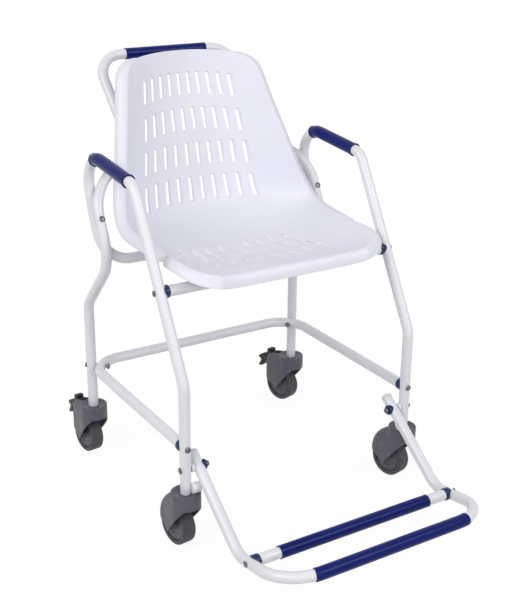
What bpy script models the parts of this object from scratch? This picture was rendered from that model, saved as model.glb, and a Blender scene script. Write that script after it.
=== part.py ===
"""Shower trolley: a mobile attendant shower chair of bent white tube on four castors.

Metres, Z up, floor at z = 0, the chair faces -Y. "left" is -X, the left side of the photograph.
All sizes below are written from the front legs' axis (y = 0); one parent empty then moves the
whole chair so that the world origin lies on the floor under the middle of the bounding box.
"""

import math

import bmesh
import bpy
from mathutils import Matrix, Vector

# Driving dimensions
MIDDLE_Y = 0.1306        # middle of the chair's length, measured from the front legs' axis
GAP = 0.0003             # clearance between pieces that touch
TUBE_R = 0.0111          # all frame tubes, 22.2 mm outside diameter
SIDE_X = 0.2665          # centre line of the legs and side tubes
LEG_FOOT_Z = 0.123       # lower ends of the four legs

# Arm frame: front leg, armrest, rear drop and the cross tube under the back of the seat
KNEE_Z, KNEE_R = 0.3482, 0.046
ARM_FRONT, ARM_FRONT_R = (0.1925, 0.6914), 0.037
ARM_REAR, ARM_REAR_R = (0.4272, 0.7142), 0.057
ARM_DROP, ARM_DROP_R = (0.3853, 0.5747), 0.08
SEAT_REAR, SEAT_REAR_R = (0.3403, 0.4928), 0.059

# Push frame: rear leg, joint with the arm frame, uprights behind the seat and the push handle
REAR_LEG_Y = 0.4405
PUSH_KNEE_Z, PUSH_KNEE_R = 0.3682, 0.049
PUSH_WAIST, PUSH_WAIST_R = (0.3182, 0.4963), 0.073
PUSH_SHOULDER, PUSH_SHOULDER_R = (0.3838, 0.6393), 0.104
PUSH_INNER, PUSH_INNER_R = (0.1563, 0.4241, 0.6944), 0.060
BACK_TOP_Y, HANDLE_REACH = 0.4965, 0.0755
PUSH_TOP, PUSH_TOP_R = (0.1682, BACK_TOP_Y + HANDLE_REACH, 0.8750), 0.057

# Lower frame: a U that starts behind the front legs and runs inside the rear legs
LOWER_Z, LOWER_REAR_Y, LOWER_R = 0.2216, 0.4482, 0.068

# Front seat bar between the sloping front tubes
BAR_Y, BAR_Z = 0.0916, 0.5070

# Footrest: U-shaped tube hinged on the inner side of the front legs, with a second cross bar
FOOT_X = 0.2378
PIVOT_Z = 0.1745
FOOT_TOP = (0.0225, 0.1915)
FOOT_BEND, FOOT_BEND_R = (-0.1533, 0.0585), 0.056
FOOT_FRONT, FOOT_FRONT_R = (-0.3109, 0.0888), 0.080
INNER_BAR_Y, INNER_BAR_Z = -0.1950, 0.0690
STOP_R, STOP_Y, STOP_Z = 0.0105, -0.0130, 0.1371

# Sleeves
SLEEVE_R = 0.0132
ARM_SLEEVE = (0.2120, 0.3700)
GRIP_HALF = 0.0992
FRONT_SLEEVE_HALF = 0.1758
REAR_SLEEVE_HALF = 0.1768

# Saddles between a tube's end and the tube it meets
SADDLE_R, SADDLE_REACH = 0.0128, 0.0175

# Screws and bolts
BOLT_R, HEAD_R, HEAD_H = 0.0030, 0.0062, 0.0032
SPACER_R, SPACER_SLACK = 0.0065, 0.0010

# Castors: distances along the trail direction s, height z, both from the stem axis on the floor
CASTORS = {
    "front_left": (-SIDE_X, 0.0, 7.0, False),
    "front_right": (SIDE_X, 0.0, 11.7, False),
    "rear_left": (-SIDE_X, REAR_LEG_Y, 7.0, True),
    "rear_right": (SIDE_X, REAR_LEG_Y, 14.6, True),
}
WHEEL_R, WHEEL_HALF, TRAIL = 0.0405, 0.0150, 0.0276
WHEEL_STEPS = 16
CORE_R = 0.0310
COLLAR_R, COLLAR_TOP, COLLAR_FOOT, DISH_Z = 0.0300, 0.1260, 0.0965, 0.1225
# Slices of the hood: height, radius at the front about the stem, radius at the rear, rearmost
# reach; a slice is the outline of a band laid round the two circles. Then the wedge cut off below
HOOD_RIM = ((COLLAR_TOP - 0.0014, COLLAR_R, COLLAR_R, COLLAR_R), (COLLAR_TOP, 0.0288, 0.0288, 0.0288),
            (COLLAR_TOP, 0.0262, 0.0262, 0.0262), (DISH_Z, 0.0125, 0.0125, 0.0125))
HOOD_PLAIN = ((0.0300, COLLAR_R, 0.0205, 0.0755), (0.0600, COLLAR_R, 0.0205, 0.0755),
              (0.0750, COLLAR_R, 0.0202, 0.0718), (0.0880, COLLAR_R, 0.0192, 0.0645),
              (0.0990, COLLAR_R, 0.0175, 0.0540), (0.1075, COLLAR_R, 0.0160, 0.0420),
              (0.1118, COLLAR_R, 0.0150, 0.0325)) + HOOD_RIM
HOOD_BRAKED = ((0.0300, COLLAR_R, 0.0205, 0.0755), (0.0880, COLLAR_R, 0.0205, 0.0755),
               (0.1010, COLLAR_R, 0.0200, 0.0740), (0.1110, COLLAR_R, 0.0188, 0.0690),
               (0.1180, COLLAR_R, 0.0170, 0.0580), (0.1212, COLLAR_R, 0.0150, 0.0400)) + HOOD_RIM
UNDERSIDE = ((-0.0400, COLLAR_FOOT), (-0.0225, COLLAR_FOOT), (0.0235, 0.0392), (0.0262, 0.0340), (0.0300, 0.0320),
             (0.0360, 0.0345), (0.0530, 0.0430), (0.0750, 0.0525), (0.0900, 0.0600), (0.0900, 0.0200),
             (-0.0400, 0.0200))
CAVITY_R, CAVITY_HALF = 0.0430, 0.0172
POCKET_R, POCKET_TOP = 0.0265, 0.0940
STEM_R, STEM_FOOT, STEM_TOP, FLANGE_R = 0.0055, 0.1000, 0.1480, 0.0088
AXLE_R = 0.0025
BRAKE_S, BRAKE_Z, BRAKE_HALF = 0.0340, 0.0940, 0.0084

# Seat shell: pairs of a point on the middle line (y, z) and one on the side crease (x, y, z),
# the power that bends the section between them, and how far the flange turns away (out, y, z)
SHELL_T = 0.0045
STATIONS = [
    ((BACK_TOP_Y, 0.8870), (0.1090, 0.4758, 0.8795), 2.2, (0.002, 0.021, -0.002)),
    ((0.4958, 0.8800), (0.1350, 0.4587, 0.8730), 2.2, (0.010, 0.021, 0.001)),
    ((0.4940, 0.8640), (0.1530, 0.4415, 0.8560), 2.2, (0.017, 0.021, 0.002)),
    ((0.4895, 0.8340), (0.1605, 0.4300, 0.8320), 2.2, (0.019, 0.021, 0.001)),
    ((0.4770, 0.7830), (0.1715, 0.4100, 0.7830), 2.4, (0.019, 0.022, 0.000)),
    ((0.4630, 0.7350), (0.1838, 0.3892, 0.7350), 2.6, (0.019, 0.022, 0.000)),
    ((0.4520, 0.6900), (0.1950, 0.3705, 0.6900), 2.8, (0.019, 0.022, 0.000)),
    ((0.4430, 0.6450), (0.2070, 0.3520, 0.6450), 3.0, (0.020, 0.022, -0.002)),
    ((0.4335, 0.6050), (0.2165, 0.3360, 0.6120), 3.2, (0.021, 0.019, -0.006)),
    ((0.4220, 0.5640), (0.2230, 0.3190, 0.5880), 3.2, (0.021, 0.013, -0.012)),
    ((0.3900, 0.5290), (0.2265, 0.2980, 0.5745), 3.2, (0.020, 0.006, -0.017)),
    ((0.3400, 0.5095), (0.2262, 0.2740, 0.5690), 3.3, (0.020, 0.002, -0.018)),
    ((0.2850, 0.5040), (0.2245, 0.2420, 0.5655), 3.5, (0.020, 0.000, -0.018)),
    ((0.2250, 0.5057), (0.2215, 0.1980, 0.5640), 3.8, (0.020, 0.000, -0.018)),
    ((0.1700, 0.5111), (0.2200, 0.1590, 0.5617), 4.4, (0.019, 0.000, -0.018)),
    ((0.1560, 0.5127), (0.2150, 0.1470, 0.5603), 4.6, (0.009, 0.000, -0.017)),
    ((0.1420, 0.5146), (0.2190, 0.1350, 0.5603), 4.8, (0.019, 0.000, -0.017)),
    ((0.1160, 0.5187), (0.2190, 0.1110, 0.5593), 5.5, (0.020, 0.000, -0.016)),
    ((0.0920, 0.5232), (0.2180, 0.0860, 0.5580), 6.0, (0.020, 0.000, -0.016)),
    ((0.0690, 0.5288), (0.2110, 0.0610, 0.5540), 7.0, (0.0173, -0.006, -0.019)),
    ((0.0510, 0.5335), (0.1940, 0.0430, 0.5475), 7.5, (0.010, -0.010, -0.022)),
    ((0.0380, 0.5362), (0.1700, 0.0325, 0.5420), 7.5, (0.0015, -0.0115, -0.0235)),
]
COLUMNS = (0.0, 0.24, 0.46, 0.65, 0.81, 0.93, 1.0)
LIP = (-0.0115, -0.0235)
TOP_LIP = (0.020, -0.004)
BACK_ROWS = ((0.8380, 0.7940), (0.7650, 0.7210), (0.6910, 0.6460), (0.6180, 0.5710))
SEAT_ROWS = ((0.2600, 0.0315), (0.2020, 0.0344), (0.1370, 0.0355))
SLOT_W = 0.0066

# Cradles moulded under the seat, which snap over the front bar and the rear cross tube:
# the tube's y and z, and the height at which each block runs into the shell
CRADLE_X, CRADLE_LONG, CRADLE_WIDE, CRADLE_GRIP = 0.0900, 0.0360, 0.0290, 0.0060
CRADLES = ((BAR_Y, BAR_Z, 0.5190), (SEAT_REAR[0], SEAT_REAR[1], 0.5108))

for old in list(bpy.data.objects):
    bpy.data.objects.remove(old)

PARTS = bpy.data.collections.new("shower_trolley")
CUTTERS = bpy.data.collections.new("cutters")
CUTTERS.hide_render = True
for group in (PARTS, CUTTERS):
    bpy.context.scene.collection.children.link(group)


def material(name, colour, roughness, metallic=0.0):
    made = bpy.data.materials.new(name)
    made.use_nodes = True
    node = made.node_tree.nodes["Principled BSDF"]
    node.inputs["Base Color"].default_value = (*colour, 1.0)
    node.inputs["Roughness"].default_value = roughness
    node.inputs["Metallic"].default_value = metallic
    return made


WHITE_PAINT = (0.86, 0.86, 0.88)
WHITE_PLASTIC = (0.88, 0.88, 0.90)
BLUE = (0.012, 0.018, 0.21)
GREY = (0.13, 0.125, 0.15)
BLACK = (0.02, 0.02, 0.022)
STEEL = (0.42, 0.42, 0.44)
FINISH = {
    "paint": (WHITE_PAINT, 0.35, 0.0),
    "plastic": (WHITE_PLASTIC, 0.40, 0.0),
    "blue": (BLUE, 0.40, 0.0),
    "grey": (GREY, 0.50, 0.0),
    "black": (BLACK, 0.45, 0.0),
    "steel": (STEEL, 0.35, 1.0),
}


def dress(item, finish):
    item.data.materials.clear()
    item.data.materials.append(material(item.name + "_finish", *FINISH[finish]))
    return item


def empty(name, place, parent=None, turn=0.0):
    made = bpy.data.objects.new(name, None)
    PARTS.objects.link(made)
    made.parent = parent
    made.location = place
    made.rotation_euler = (0.0, 0.0, math.radians(turn))
    return made


ROOT = empty("trolley_origin", (0.0, -MIDDLE_Y, 0.0))
FOOTREST = empty("footrest_hinge", (0.0, 0.0, PIVOT_Z), ROOT)
SHIFT = {ROOT: Vector(), FOOTREST: Vector((0.0, 0.0, -PIVOT_Z))}


def add(name, data, parent=ROOT, cutter=False):
    """A new object. Its mesh is written from the chair's frame, or from its castor's."""
    made = bpy.data.objects.new(name, data)
    (CUTTERS if cutter else PARTS).objects.link(made)
    made.parent = parent
    made.location = SHIFT.get(parent, Vector())
    if cutter:
        made.display_type = "WIRE"
    return made


def aim(item, place, direction):
    """Turn an object so that its own Z runs along the direction, and put it in place."""
    turn = Vector(direction).normalized().to_track_quat("Z", "Y")
    item.rotation_euler = turn.to_euler()
    item.location = item.location + Vector(place)
    return item


def bend(corners, radii, step=22.0):
    """Corner points joined by straight runs, with each inner corner rounded to its radius."""
    corners = [Vector(c) for c in corners]
    points = [corners[0]]
    for before, here, after, radius in zip(corners, corners[1:], corners[2:], radii):
        back = (before - here).normalized()
        ahead = (after - here).normalized()
        half = back.angle(ahead) / 2
        start = here + back * radius / math.tan(half)
        end = here + ahead * radius / math.tan(half)
        centre = here + (back + ahead).normalized() * radius / math.sin(half)
        turn = math.pi - 2 * half
        count = max(1, round(math.degrees(turn) / step))
        first = start - centre
        side = (end - centre - first * math.cos(turn)) / math.sin(turn)
        for index in range(count + 1):
            angle = turn * index / count
            points.append(centre + first * math.cos(angle) + side * math.sin(angle))
    points.append(corners[-1])
    return points


def mirrored(half):
    """A half path that ends on the middle plane, carried on to the other side."""
    other = [Vector((-p.x, p.y, p.z)) for p in reversed(half[:-1])]
    return half[:-1] + other


def between(points, axis, low, high):
    """The part of a path whose coordinate lies between two values."""
    kept = []
    for here, there in zip(points, points[1:]):
        span = there[axis] - here[axis]
        inside = low <= here[axis] <= high
        if inside:
            kept.append(here)
        if abs(span) > 1e-9:
            marks = sorted(((v - here[axis]) / span for v in (low, high)))
            kept += [here.lerp(there, m) for m in marks if 1e-6 < m < 1 - 1e-6]
    return kept


def sweep(name, points, radius, parent=ROOT, caps=True, cutter=False):
    curve = bpy.data.curves.new(name, "CURVE")
    curve.dimensions = "3D"
    curve.bevel_depth = radius
    curve.bevel_resolution = 3
    curve.use_fill_caps = caps
    line = curve.splines.new("POLY")
    line.points.add(len(points) - 1)
    for node, point in zip(line.points, points):
        node.co = (*point, 1.0)
    return add(name, curve, parent, cutter)


def prism(name, outline, half, parent=ROOT, cutter=False):
    """A flat outline in its own XY plane, thickened both ways along its own Z."""
    curve = bpy.data.curves.new(name, "CURVE")
    curve.dimensions = "2D"
    curve.fill_mode = "BOTH"
    curve.extrude = half
    line = curve.splines.new("POLY")
    line.points.add(len(outline) - 1)
    line.use_cyclic_u = True
    for node, (x, y) in zip(line.points, outline):
        node.co = (x, y, 0.0, 1.0)
    return add(name, curve, parent, cutter)


def meshed(item):
    """The same object as a mesh with its caps joined on, ready for a Boolean."""
    bpy.context.view_layer.update()
    found = item.evaluated_get(bpy.context.evaluated_depsgraph_get())
    mesh = bpy.data.meshes.new_from_object(found)
    work = bmesh.new()
    work.from_mesh(mesh)
    bmesh.ops.remove_doubles(work, verts=work.verts, dist=1e-5)
    bmesh.ops.recalc_face_normals(work, faces=work.faces)
    work.to_mesh(mesh)
    work.free()
    name, parent, world = item.name, item.parent, item.matrix_world.copy()
    cutter = item.name in CUTTERS.objects
    bpy.data.objects.remove(item)
    made = add(name, mesh, parent, cutter)
    made.matrix_world = world
    return made


def combine(item, other, how):
    change = item.modifiers.new(how.lower(), "BOOLEAN")
    change.operation = how
    change.solver = "EXACT"
    change.object = other
    return item


def rods(name, pieces, parent=ROOT, sides=6):
    """One cutter made of several round rods, each given by its two ends and its radius."""
    work = bmesh.new()
    for start, end, radius in pieces:
        start, end = Vector(start), Vector(end)
        turn = (end - start).to_track_quat("Z", "Y").to_matrix().to_4x4()
        where = Matrix.Translation((start + end) / 2) @ turn
        bmesh.ops.create_cone(
            work, cap_ends=True, segments=sides, radius1=radius, radius2=radius,
            depth=(end - start).length, matrix=where,
        )
    mesh = bpy.data.meshes.new(name)
    work.to_mesh(mesh)
    work.free()
    return add(name, mesh, parent, cutter=True)


def bore(radius, sides=6):
    """Corner radius of a hole whose flats clear a shaft of the given radius."""
    return (radius + GAP) / math.cos(math.pi / sides)


def turned(name, profile, steps, parent=ROOT, ring=False, cutter=False):
    """A profile of (radius, height) points, top first, turned about the object's own Z."""
    mesh = bpy.data.meshes.new(name)
    corners = [(r, 0.0, h) for r, h in profile]
    edges = [(i, i + 1) for i in range(len(corners) - 1)]
    if ring:
        edges.append((len(corners) - 1, 0))
    mesh.from_pydata(corners, edges, [])
    made = add(name, mesh, parent, cutter)
    spin = made.modifiers.new("turn", "SCREW")
    spin.axis = "Z"
    spin.angle = math.tau
    spin.steps = steps
    spin.render_steps = steps
    spin.use_merge_vertices = True
    spin.merge_threshold = 0.00005
    return made


def soften(item, angle=35.0):
    """Smooth shading with the real edges kept sharp."""
    if item.type == "MESH":
        for face in item.data.polygons:
            face.use_smooth = True
        item.data.set_sharp_from_angle(angle=math.radians(angle))
    return item


# Tube paths
leg_to_middle = [
    (SIDE_X, 0.0, LEG_FOOT_Z),
    (SIDE_X, 0.0, KNEE_Z),
    (SIDE_X, *ARM_FRONT),
    (SIDE_X, *ARM_REAR),
    (SIDE_X, *ARM_DROP),
    (SIDE_X, *SEAT_REAR),
    (0.0, *SEAT_REAR),
]
arm_half = bend(leg_to_middle, (KNEE_R, ARM_FRONT_R, ARM_REAR_R, ARM_DROP_R, SEAT_REAR_R))
arm_path = mirrored(arm_half)
push_corners = [
    (SIDE_X, REAR_LEG_Y, LEG_FOOT_Z),
    (SIDE_X, REAR_LEG_Y, PUSH_KNEE_Z),
    (SIDE_X, *PUSH_WAIST),
    (SIDE_X, *PUSH_SHOULDER),
    PUSH_INNER,
    PUSH_TOP,
    (0.0, PUSH_TOP[1], PUSH_TOP[2]),
]
push_radii = (PUSH_KNEE_R, PUSH_WAIST_R, PUSH_SHOULDER_R, PUSH_INNER_R, PUSH_TOP_R)
push_half = bend(push_corners, push_radii)
push_path = mirrored(push_half)
LOWER_START = SADDLE_REACH + GAP
lower_corners = [
    (SIDE_X, LOWER_START, LOWER_Z),
    (SIDE_X, LOWER_REAR_Y, LOWER_Z),
    (0.0, LOWER_REAR_Y, LOWER_Z),
]
lower_path = mirrored(bend(lower_corners, (LOWER_R,)))
foot_corners = [
    (FOOT_X, *FOOT_TOP),
    (FOOT_X, *FOOT_BEND),
    (FOOT_X, *FOOT_FRONT),
    (0.0, *FOOT_FRONT),
]
foot_half = bend(foot_corners, (FOOT_BEND_R, FOOT_FRONT_R))
foot_path = mirrored(foot_half)

# The bolted joint where the push frame passes in front of the arm frame
slope = Vector((0.0, ARM_DROP[0] - SEAT_REAR[0], ARM_DROP[1] - SEAT_REAR[1])).normalized()
joint_rear = Vector((SIDE_X, *ARM_DROP)) - slope * 0.0105
across = Vector((0.0, -slope.z, slope.y))
joint_front = min(
    (a.lerp(b, t / 20) for a, b in zip(push_half, push_half[1:]) for t in range(21)),
    key=lambda p: (p - joint_rear).cross(across).length,
)
joint_mid = (joint_rear + joint_front) / 2
joint_half = (joint_front - joint_rear).length / 2

# Lower corner joints: the rear legs stand just outside the rounded corners of the lower frame
corner = Vector((SIDE_X - LOWER_R, LOWER_REAR_Y - LOWER_R, LOWER_Z))
leg_here = Vector((SIDE_X, REAR_LEG_Y, LOWER_Z))
corner_out = (leg_here - corner).normalized()

# Where the front bar meets the sloping tube, and that tube's direction
front_slope = Vector((0.0, ARM_FRONT[0], ARM_FRONT[1] - KNEE_Z)).normalized()
foot_slope = Vector((0.0, FOOT_BEND[0] - FOOT_TOP[0], FOOT_BEND[1] - FOOT_TOP[1])).normalized()
tread_slope = Vector((0.0, FOOT_FRONT[0] - FOOT_BEND[0], FOOT_FRONT[1] - FOOT_BEND[1])).normalized()
SIDES = (("left", -1), ("right", 1))


def flip(vector, sign):
    """The same point or direction on the left (-1) or right (1) side."""
    return Vector((vector[0] * sign, vector[1], vector[2]))


def build_frames():
    arm_cuts, push_cuts, lower_cuts, foot_cuts = [], [], [], []
    shank = bore(BOLT_R)
    for _, sign in SIDES:
        for y, cuts in ((0.0, arm_cuts), (REAR_LEG_Y, push_cuts)):
            foot = (sign * SIDE_X, y, LEG_FOOT_Z - 0.01)
            cuts.append((foot, (sign * SIDE_X, y, STEM_TOP + GAP), bore(STEM_R)))
        pivot = Vector((sign * SIDE_X, 0.0, PIVOT_Z))
        reach = Vector((0.02, 0.0, 0.0))
        arm_cuts.append((pivot - reach, pivot + reach, shank))
        hinge = Vector((sign * FOOT_X, 0.0, PIVOT_Z))
        foot_cuts.append((hinge - reach, hinge + reach, shank))
        bar = Vector((sign * SIDE_X, BAR_Y, BAR_Z))
        arm_cuts.append((bar - reach, bar + reach, shank))
        low = Vector((sign * SIDE_X, 0.0, LOWER_Z))
        depth = Vector((0.0, 0.02, 0.0))
        arm_cuts.append((low - depth, low + depth, shank))
        start = Vector((sign * SIDE_X, LOWER_START, LOWER_Z))
        lower_cuts.append((start - depth, start + depth * 0.5, shank))
        middle, along = flip(joint_mid, sign), across
        arm_cuts.append((middle, middle - along * 0.045, shank))
        push_cuts.append((middle, middle + along * 0.045, shank))
        centre, out = flip(corner, sign), flip(corner_out, sign)
        split = (LOWER_R + (leg_here - corner).length) / 2
        lower_cuts.append((centre + out * 0.04, centre + out * split, shank))
        push_cuts.append((centre + out * split, centre + out * 0.12, shank))
        tread = Vector((sign * FOOT_X, INNER_BAR_Y, INNER_BAR_Z))
        foot_cuts.append((tread - reach, tread + reach, shank))
    plans = (
        ("arm_frame", arm_path, arm_cuts, ROOT),
        ("push_frame", push_path, push_cuts, ROOT),
        ("lower_frame", lower_path, lower_cuts, ROOT),
        ("footrest_frame", foot_path, foot_cuts, FOOTREST),
    )
    for name, path, cuts, parent in plans:
        tube = meshed(sweep(name, path, TUBE_R, parent))
        combine(tube, rods(name + "_bores", cuts, parent), "DIFFERENCE")
        dress(soften(tube), "paint")


def cross_bar(name, y, z, side_x, parent):
    """A straight tube between two saddles, drilled at both ends for its screws."""
    end = side_x - SADDLE_REACH - GAP
    bar = meshed(sweep(name, [(-end, y, z), (end, y, z)], TUBE_R, parent))
    cuts = [((s * (end - 0.010), y, z), (s * (end + 0.01), y, z), bore(BOLT_R)) for s in (-1, 1)]
    combine(bar, rods(name + "_bores", cuts, parent), "DIFFERENCE")
    dress(soften(bar), "paint")


def saddle(name, centre, towards, tube_point, tube_axis, reach, parent, finish="blue", radius=SADDLE_R):
    """A round block hollowed on one side to fit the tube, and drilled for its screw."""
    centre, towards, tube_point = Vector(centre), Vector(towards), Vector(tube_point)
    tube_axis = Vector(tube_axis).normalized()
    work = bmesh.new()
    start, end = centre + towards * 0.005, centre + towards * reach
    turn = towards.to_track_quat("Z", "Y").to_matrix().to_4x4()
    where = Matrix.Translation((start + end) / 2) @ turn
    bmesh.ops.create_cone(
        work, cap_ends=True, segments=14, radius1=radius, radius2=radius,
        depth=(end - start).length, matrix=where,
    )
    mesh = bpy.data.meshes.new(name)
    work.to_mesh(mesh)
    work.free()
    block = add(name, mesh, parent)
    fit = (TUBE_R + GAP) / math.cos(math.pi / 16)
    hollow = rods(
        name + "_seat",
        [(tube_point - tube_axis * 0.04, tube_point + tube_axis * 0.04, fit)], parent, 16,
    )
    combine(block, hollow, "DIFFERENCE")
    drill = rods(name + "_bore", [(centre, centre + towards * 0.05, bore(BOLT_R))], parent)
    combine(block, drill, "DIFFERENCE")
    return dress(soften(block, 30.0), finish)


def screw(name, place, direction, length, parent, shank=BOLT_R, head=HEAD_R, height=HEAD_H):
    """A dome-headed screw: head outside the surface at its place, shank along the direction."""
    profile = [
        (0.0, height), (head * 0.62, height * 0.86), (head, height * 0.30), (head, GAP),
        (shank, GAP), (shank, -length), (0.0, -length),
    ]
    item = turned(name, profile, 8, parent)
    aim(item, place, -Vector(direction))
    return dress(soften(item, 40.0), "steel")


def build_joints():
    for side, sign in SIDES:
        inward = Vector((-sign, 0.0, 0.0))
        low = Vector((sign * SIDE_X, 0.0, LOWER_Z))
        back = Vector((0.0, 1.0, 0.0))
        saddle(f"lower_saddle_{side}", low, back, low, (0, 0, 1), SADDLE_REACH, ROOT)
        length = TUBE_R + SADDLE_REACH + 0.008
        screw(f"lower_screw_{side}", low - back * TUBE_R, back, length, ROOT)
        bar = Vector((sign * SIDE_X, BAR_Y, BAR_Z))
        axis_y = BAR_Y
        axis_z = KNEE_Z + (ARM_FRONT[1] - KNEE_Z) * axis_y / ARM_FRONT[0]
        on_axis = Vector((sign * SIDE_X, axis_y, axis_z))
        saddle(f"seat_bar_saddle_{side}", bar, inward, on_axis, front_slope, SADDLE_REACH, ROOT)
        screw(f"seat_bar_screw_{side}", bar - inward * TUBE_R, inward, length, ROOT)
        tread = Vector((sign * FOOT_X, INNER_BAR_Y, INNER_BAR_Z))
        rise = (INNER_BAR_Y - FOOT_BEND[0]) / (FOOT_FRONT[0] - FOOT_BEND[0])
        tube_z = FOOT_BEND[1] + (FOOT_FRONT[1] - FOOT_BEND[1]) * rise
        on_tube = Vector((sign * FOOT_X, INNER_BAR_Y, tube_z))
        name = f"tread_bar_saddle_{side}"
        saddle(name, tread, inward, on_tube, tread_slope, SADDLE_REACH, FOOTREST)
        screw(f"tread_bar_screw_{side}", tread - inward * TUBE_R, inward, length, FOOTREST)

        hinge = Vector((sign * FOOT_X, 0.0, PIVOT_Z))
        saddle(f"pivot_washer_{side}", hinge, inward, hinge, foot_slope, 0.0150, FOOTREST, radius=0.0105)
        inner = SIDE_X - FOOT_X
        washer_end = -inner - 0.0150 - GAP
        profile = [
            (0.0, TUBE_R + HEAD_H), (HEAD_R * 0.62, TUBE_R + HEAD_H * 0.86),
            (HEAD_R, TUBE_R + 0.001), (HEAD_R, TUBE_R + GAP), (BOLT_R, TUBE_R + GAP),
            (BOLT_R, -TUBE_R - GAP), (0.0085, -TUBE_R - GAP), (0.0085, -inner + TUBE_R + GAP),
            (BOLT_R, -inner + TUBE_R + GAP), (BOLT_R, washer_end), (0.0062, washer_end),
            (0.0062, washer_end - 0.004), (0.0040, washer_end - 0.0068), (0.0, washer_end - 0.0075),
        ]
        bolt = turned(f"pivot_bolt_{side}", profile, 8, ROOT)
        aim(bolt, (sign * SIDE_X, 0.0, PIVOT_Z), (sign, 0.0, 0.0))
        dress(soften(bolt, 40.0), "steel")

        reach = joint_half + TUBE_R
        profile = [
            (0.0, reach + HEAD_H), (HEAD_R * 0.62, reach + HEAD_H * 0.86), (HEAD_R, reach + 0.0014),
            (HEAD_R, reach + SPACER_SLACK), (BOLT_R, reach + SPACER_SLACK),
            (BOLT_R, joint_half - TUBE_R - SPACER_SLACK),
            (SPACER_R, joint_half - TUBE_R - SPACER_SLACK),
            (SPACER_R, -joint_half + TUBE_R + SPACER_SLACK),
            (BOLT_R, -joint_half + TUBE_R + SPACER_SLACK), (BOLT_R, -reach - GAP), (0.0058, -reach - GAP),
            (0.0058, -reach - 0.005), (0.0, -reach - 0.0062),
        ]
        bolt = turned(f"arm_joint_bolt_{side}", profile, 8, ROOT)
        aim(bolt, flip(joint_mid, sign), across)
        dress(soften(bolt, 40.0), "steel")

        centre, out = flip(corner, sign), flip(corner_out, sign)
        far = (leg_here - corner).length + TUBE_R
        near = LOWER_R - TUBE_R - 0.0020
        profile = [
            (0.0, far + HEAD_H), (HEAD_R * 0.62, far + HEAD_H * 0.86), (HEAD_R, far + 0.001),
            (HEAD_R, far + GAP), (BOLT_R, far + GAP), (BOLT_R, near - GAP), (0.0058, near - GAP),
            (0.0058, near - 0.005), (0.0, near - 0.0062),
        ]
        bolt = turned(f"rear_corner_bolt_{side}", profile, 8, ROOT)
        aim(bolt, centre, out)
        dress(soften(bolt, 40.0), "steel")

        stop = Vector((sign * SIDE_X, STOP_Y, STOP_Z))
        name = f"footrest_stop_{side}"
        work = bmesh.new()
        turn = inward.to_track_quat("Z", "Y").to_matrix().to_4x4()
        where = Matrix.Translation(stop + inward * 0.0150) @ turn
        bmesh.ops.create_cone(
            work, cap_ends=True, segments=16, radius1=STOP_R, radius2=STOP_R, depth=0.0170, matrix=where,
        )
        mesh = bpy.data.meshes.new(name)
        work.to_mesh(mesh)
        work.free()
        peg = add(name, mesh)
        fit = (TUBE_R + GAP) / math.cos(math.pi / 24)
        leg = ((sign * SIDE_X, 0.0, STOP_Z - 0.03), (sign * SIDE_X, 0.0, STOP_Z + 0.03), fit)
        combine(peg, rods(name + "_seat", [leg], ROOT, 24), "DIFFERENCE")
        dress(soften(peg, 30.0), "plastic")

        cap = [(0.0, 0.0070), (0.0060, 0.0058), (0.0098, 0.0032), (TUBE_R, GAP), (0.0, GAP)]
        plug = turned(f"footrest_plug_{side}", cap, 12, FOOTREST)
        aim(plug, (sign * FOOT_X, *FOOT_TOP), -foot_slope)
        dress(soften(plug, 50.0), "plastic")


def sleeve(name, points, parent):
    """A soft sleeve on a tube: the tube's own path, swept as a thick-walled open skin."""
    inner = (TUBE_R + GAP) / math.cos(math.pi / 10)
    middle = (inner + SLEEVE_R) / 2
    skin = sweep(name, points, middle, parent, caps=False)
    wall = skin.modifiers.new("wall", "SOLIDIFY")
    wall.thickness = SLEEVE_R - inner
    wall.offset = 0.0
    dress(skin, "blue")


def build_sleeves():
    top = [p for p in arm_half if p.z > 0.60 and p.y > 0.15]
    run = between(top, 1, *ARM_SLEEVE)
    rising = [a for a, b in zip(run, run[1:] + [None]) if b is None or b.y > a.y - 1e-6]
    for side, sign in SIDES:
        sleeve(f"arm_sleeve_{side}", [flip(p, sign) for p in rising], ROOT)
    sleeve("push_grip", between(push_path, 0, -GRIP_HALF, GRIP_HALF), ROOT)
    front = between(foot_path, 0, -FRONT_SLEEVE_HALF, FRONT_SLEEVE_HALF)
    sleeve("footrest_front_sleeve", front, FOOTREST)
    ends = [Vector((s * REAR_SLEEVE_HALF, INNER_BAR_Y, INNER_BAR_Z)) for s in (-1, 1)]
    sleeve("footrest_rear_sleeve", ends, FOOTREST)


def shell_point(station, u, end=None):
    """A point of the shell: straight across in x, bent by the station's power in y and z."""
    (yc, zc), (xr, yr, zr), power, _ = station
    share = abs(u) ** power
    return Vector((xr * u, yc + (yr - yc) * share, zc + (zr - zc) * share))


def shell_height(kind, x, value):
    """The shell's front surface at a given x: y for a height on the back, z for a y on the seat."""
    rows = []
    for station in STATIONS:
        u = min(abs(x) / station[1][0], 1.0)
        rows.append(shell_point(station, u))
    for a, b in zip(rows, rows[1:]):
        low, high = (b.z, a.z) if kind == "back" else (b.y, a.y)
        if low - 1e-9 <= value <= high + 1e-9:
            share = (value - low) / (high - low)
            return b.y + (a.y - b.y) * share if kind == "back" else b.z + (a.z - b.z) * share
    raise ValueError(kind)


def share_of(turn, out, back):
    """Part of the way along a flange: its outward share first, the turned-away share later."""
    x, y, z = turn
    if abs(x) > 0.005:
        return (x * out, y * back, z * back)
    return (x * out, y * (out if z < -0.01 else back), z * (back if z < -0.01 else out))


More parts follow.
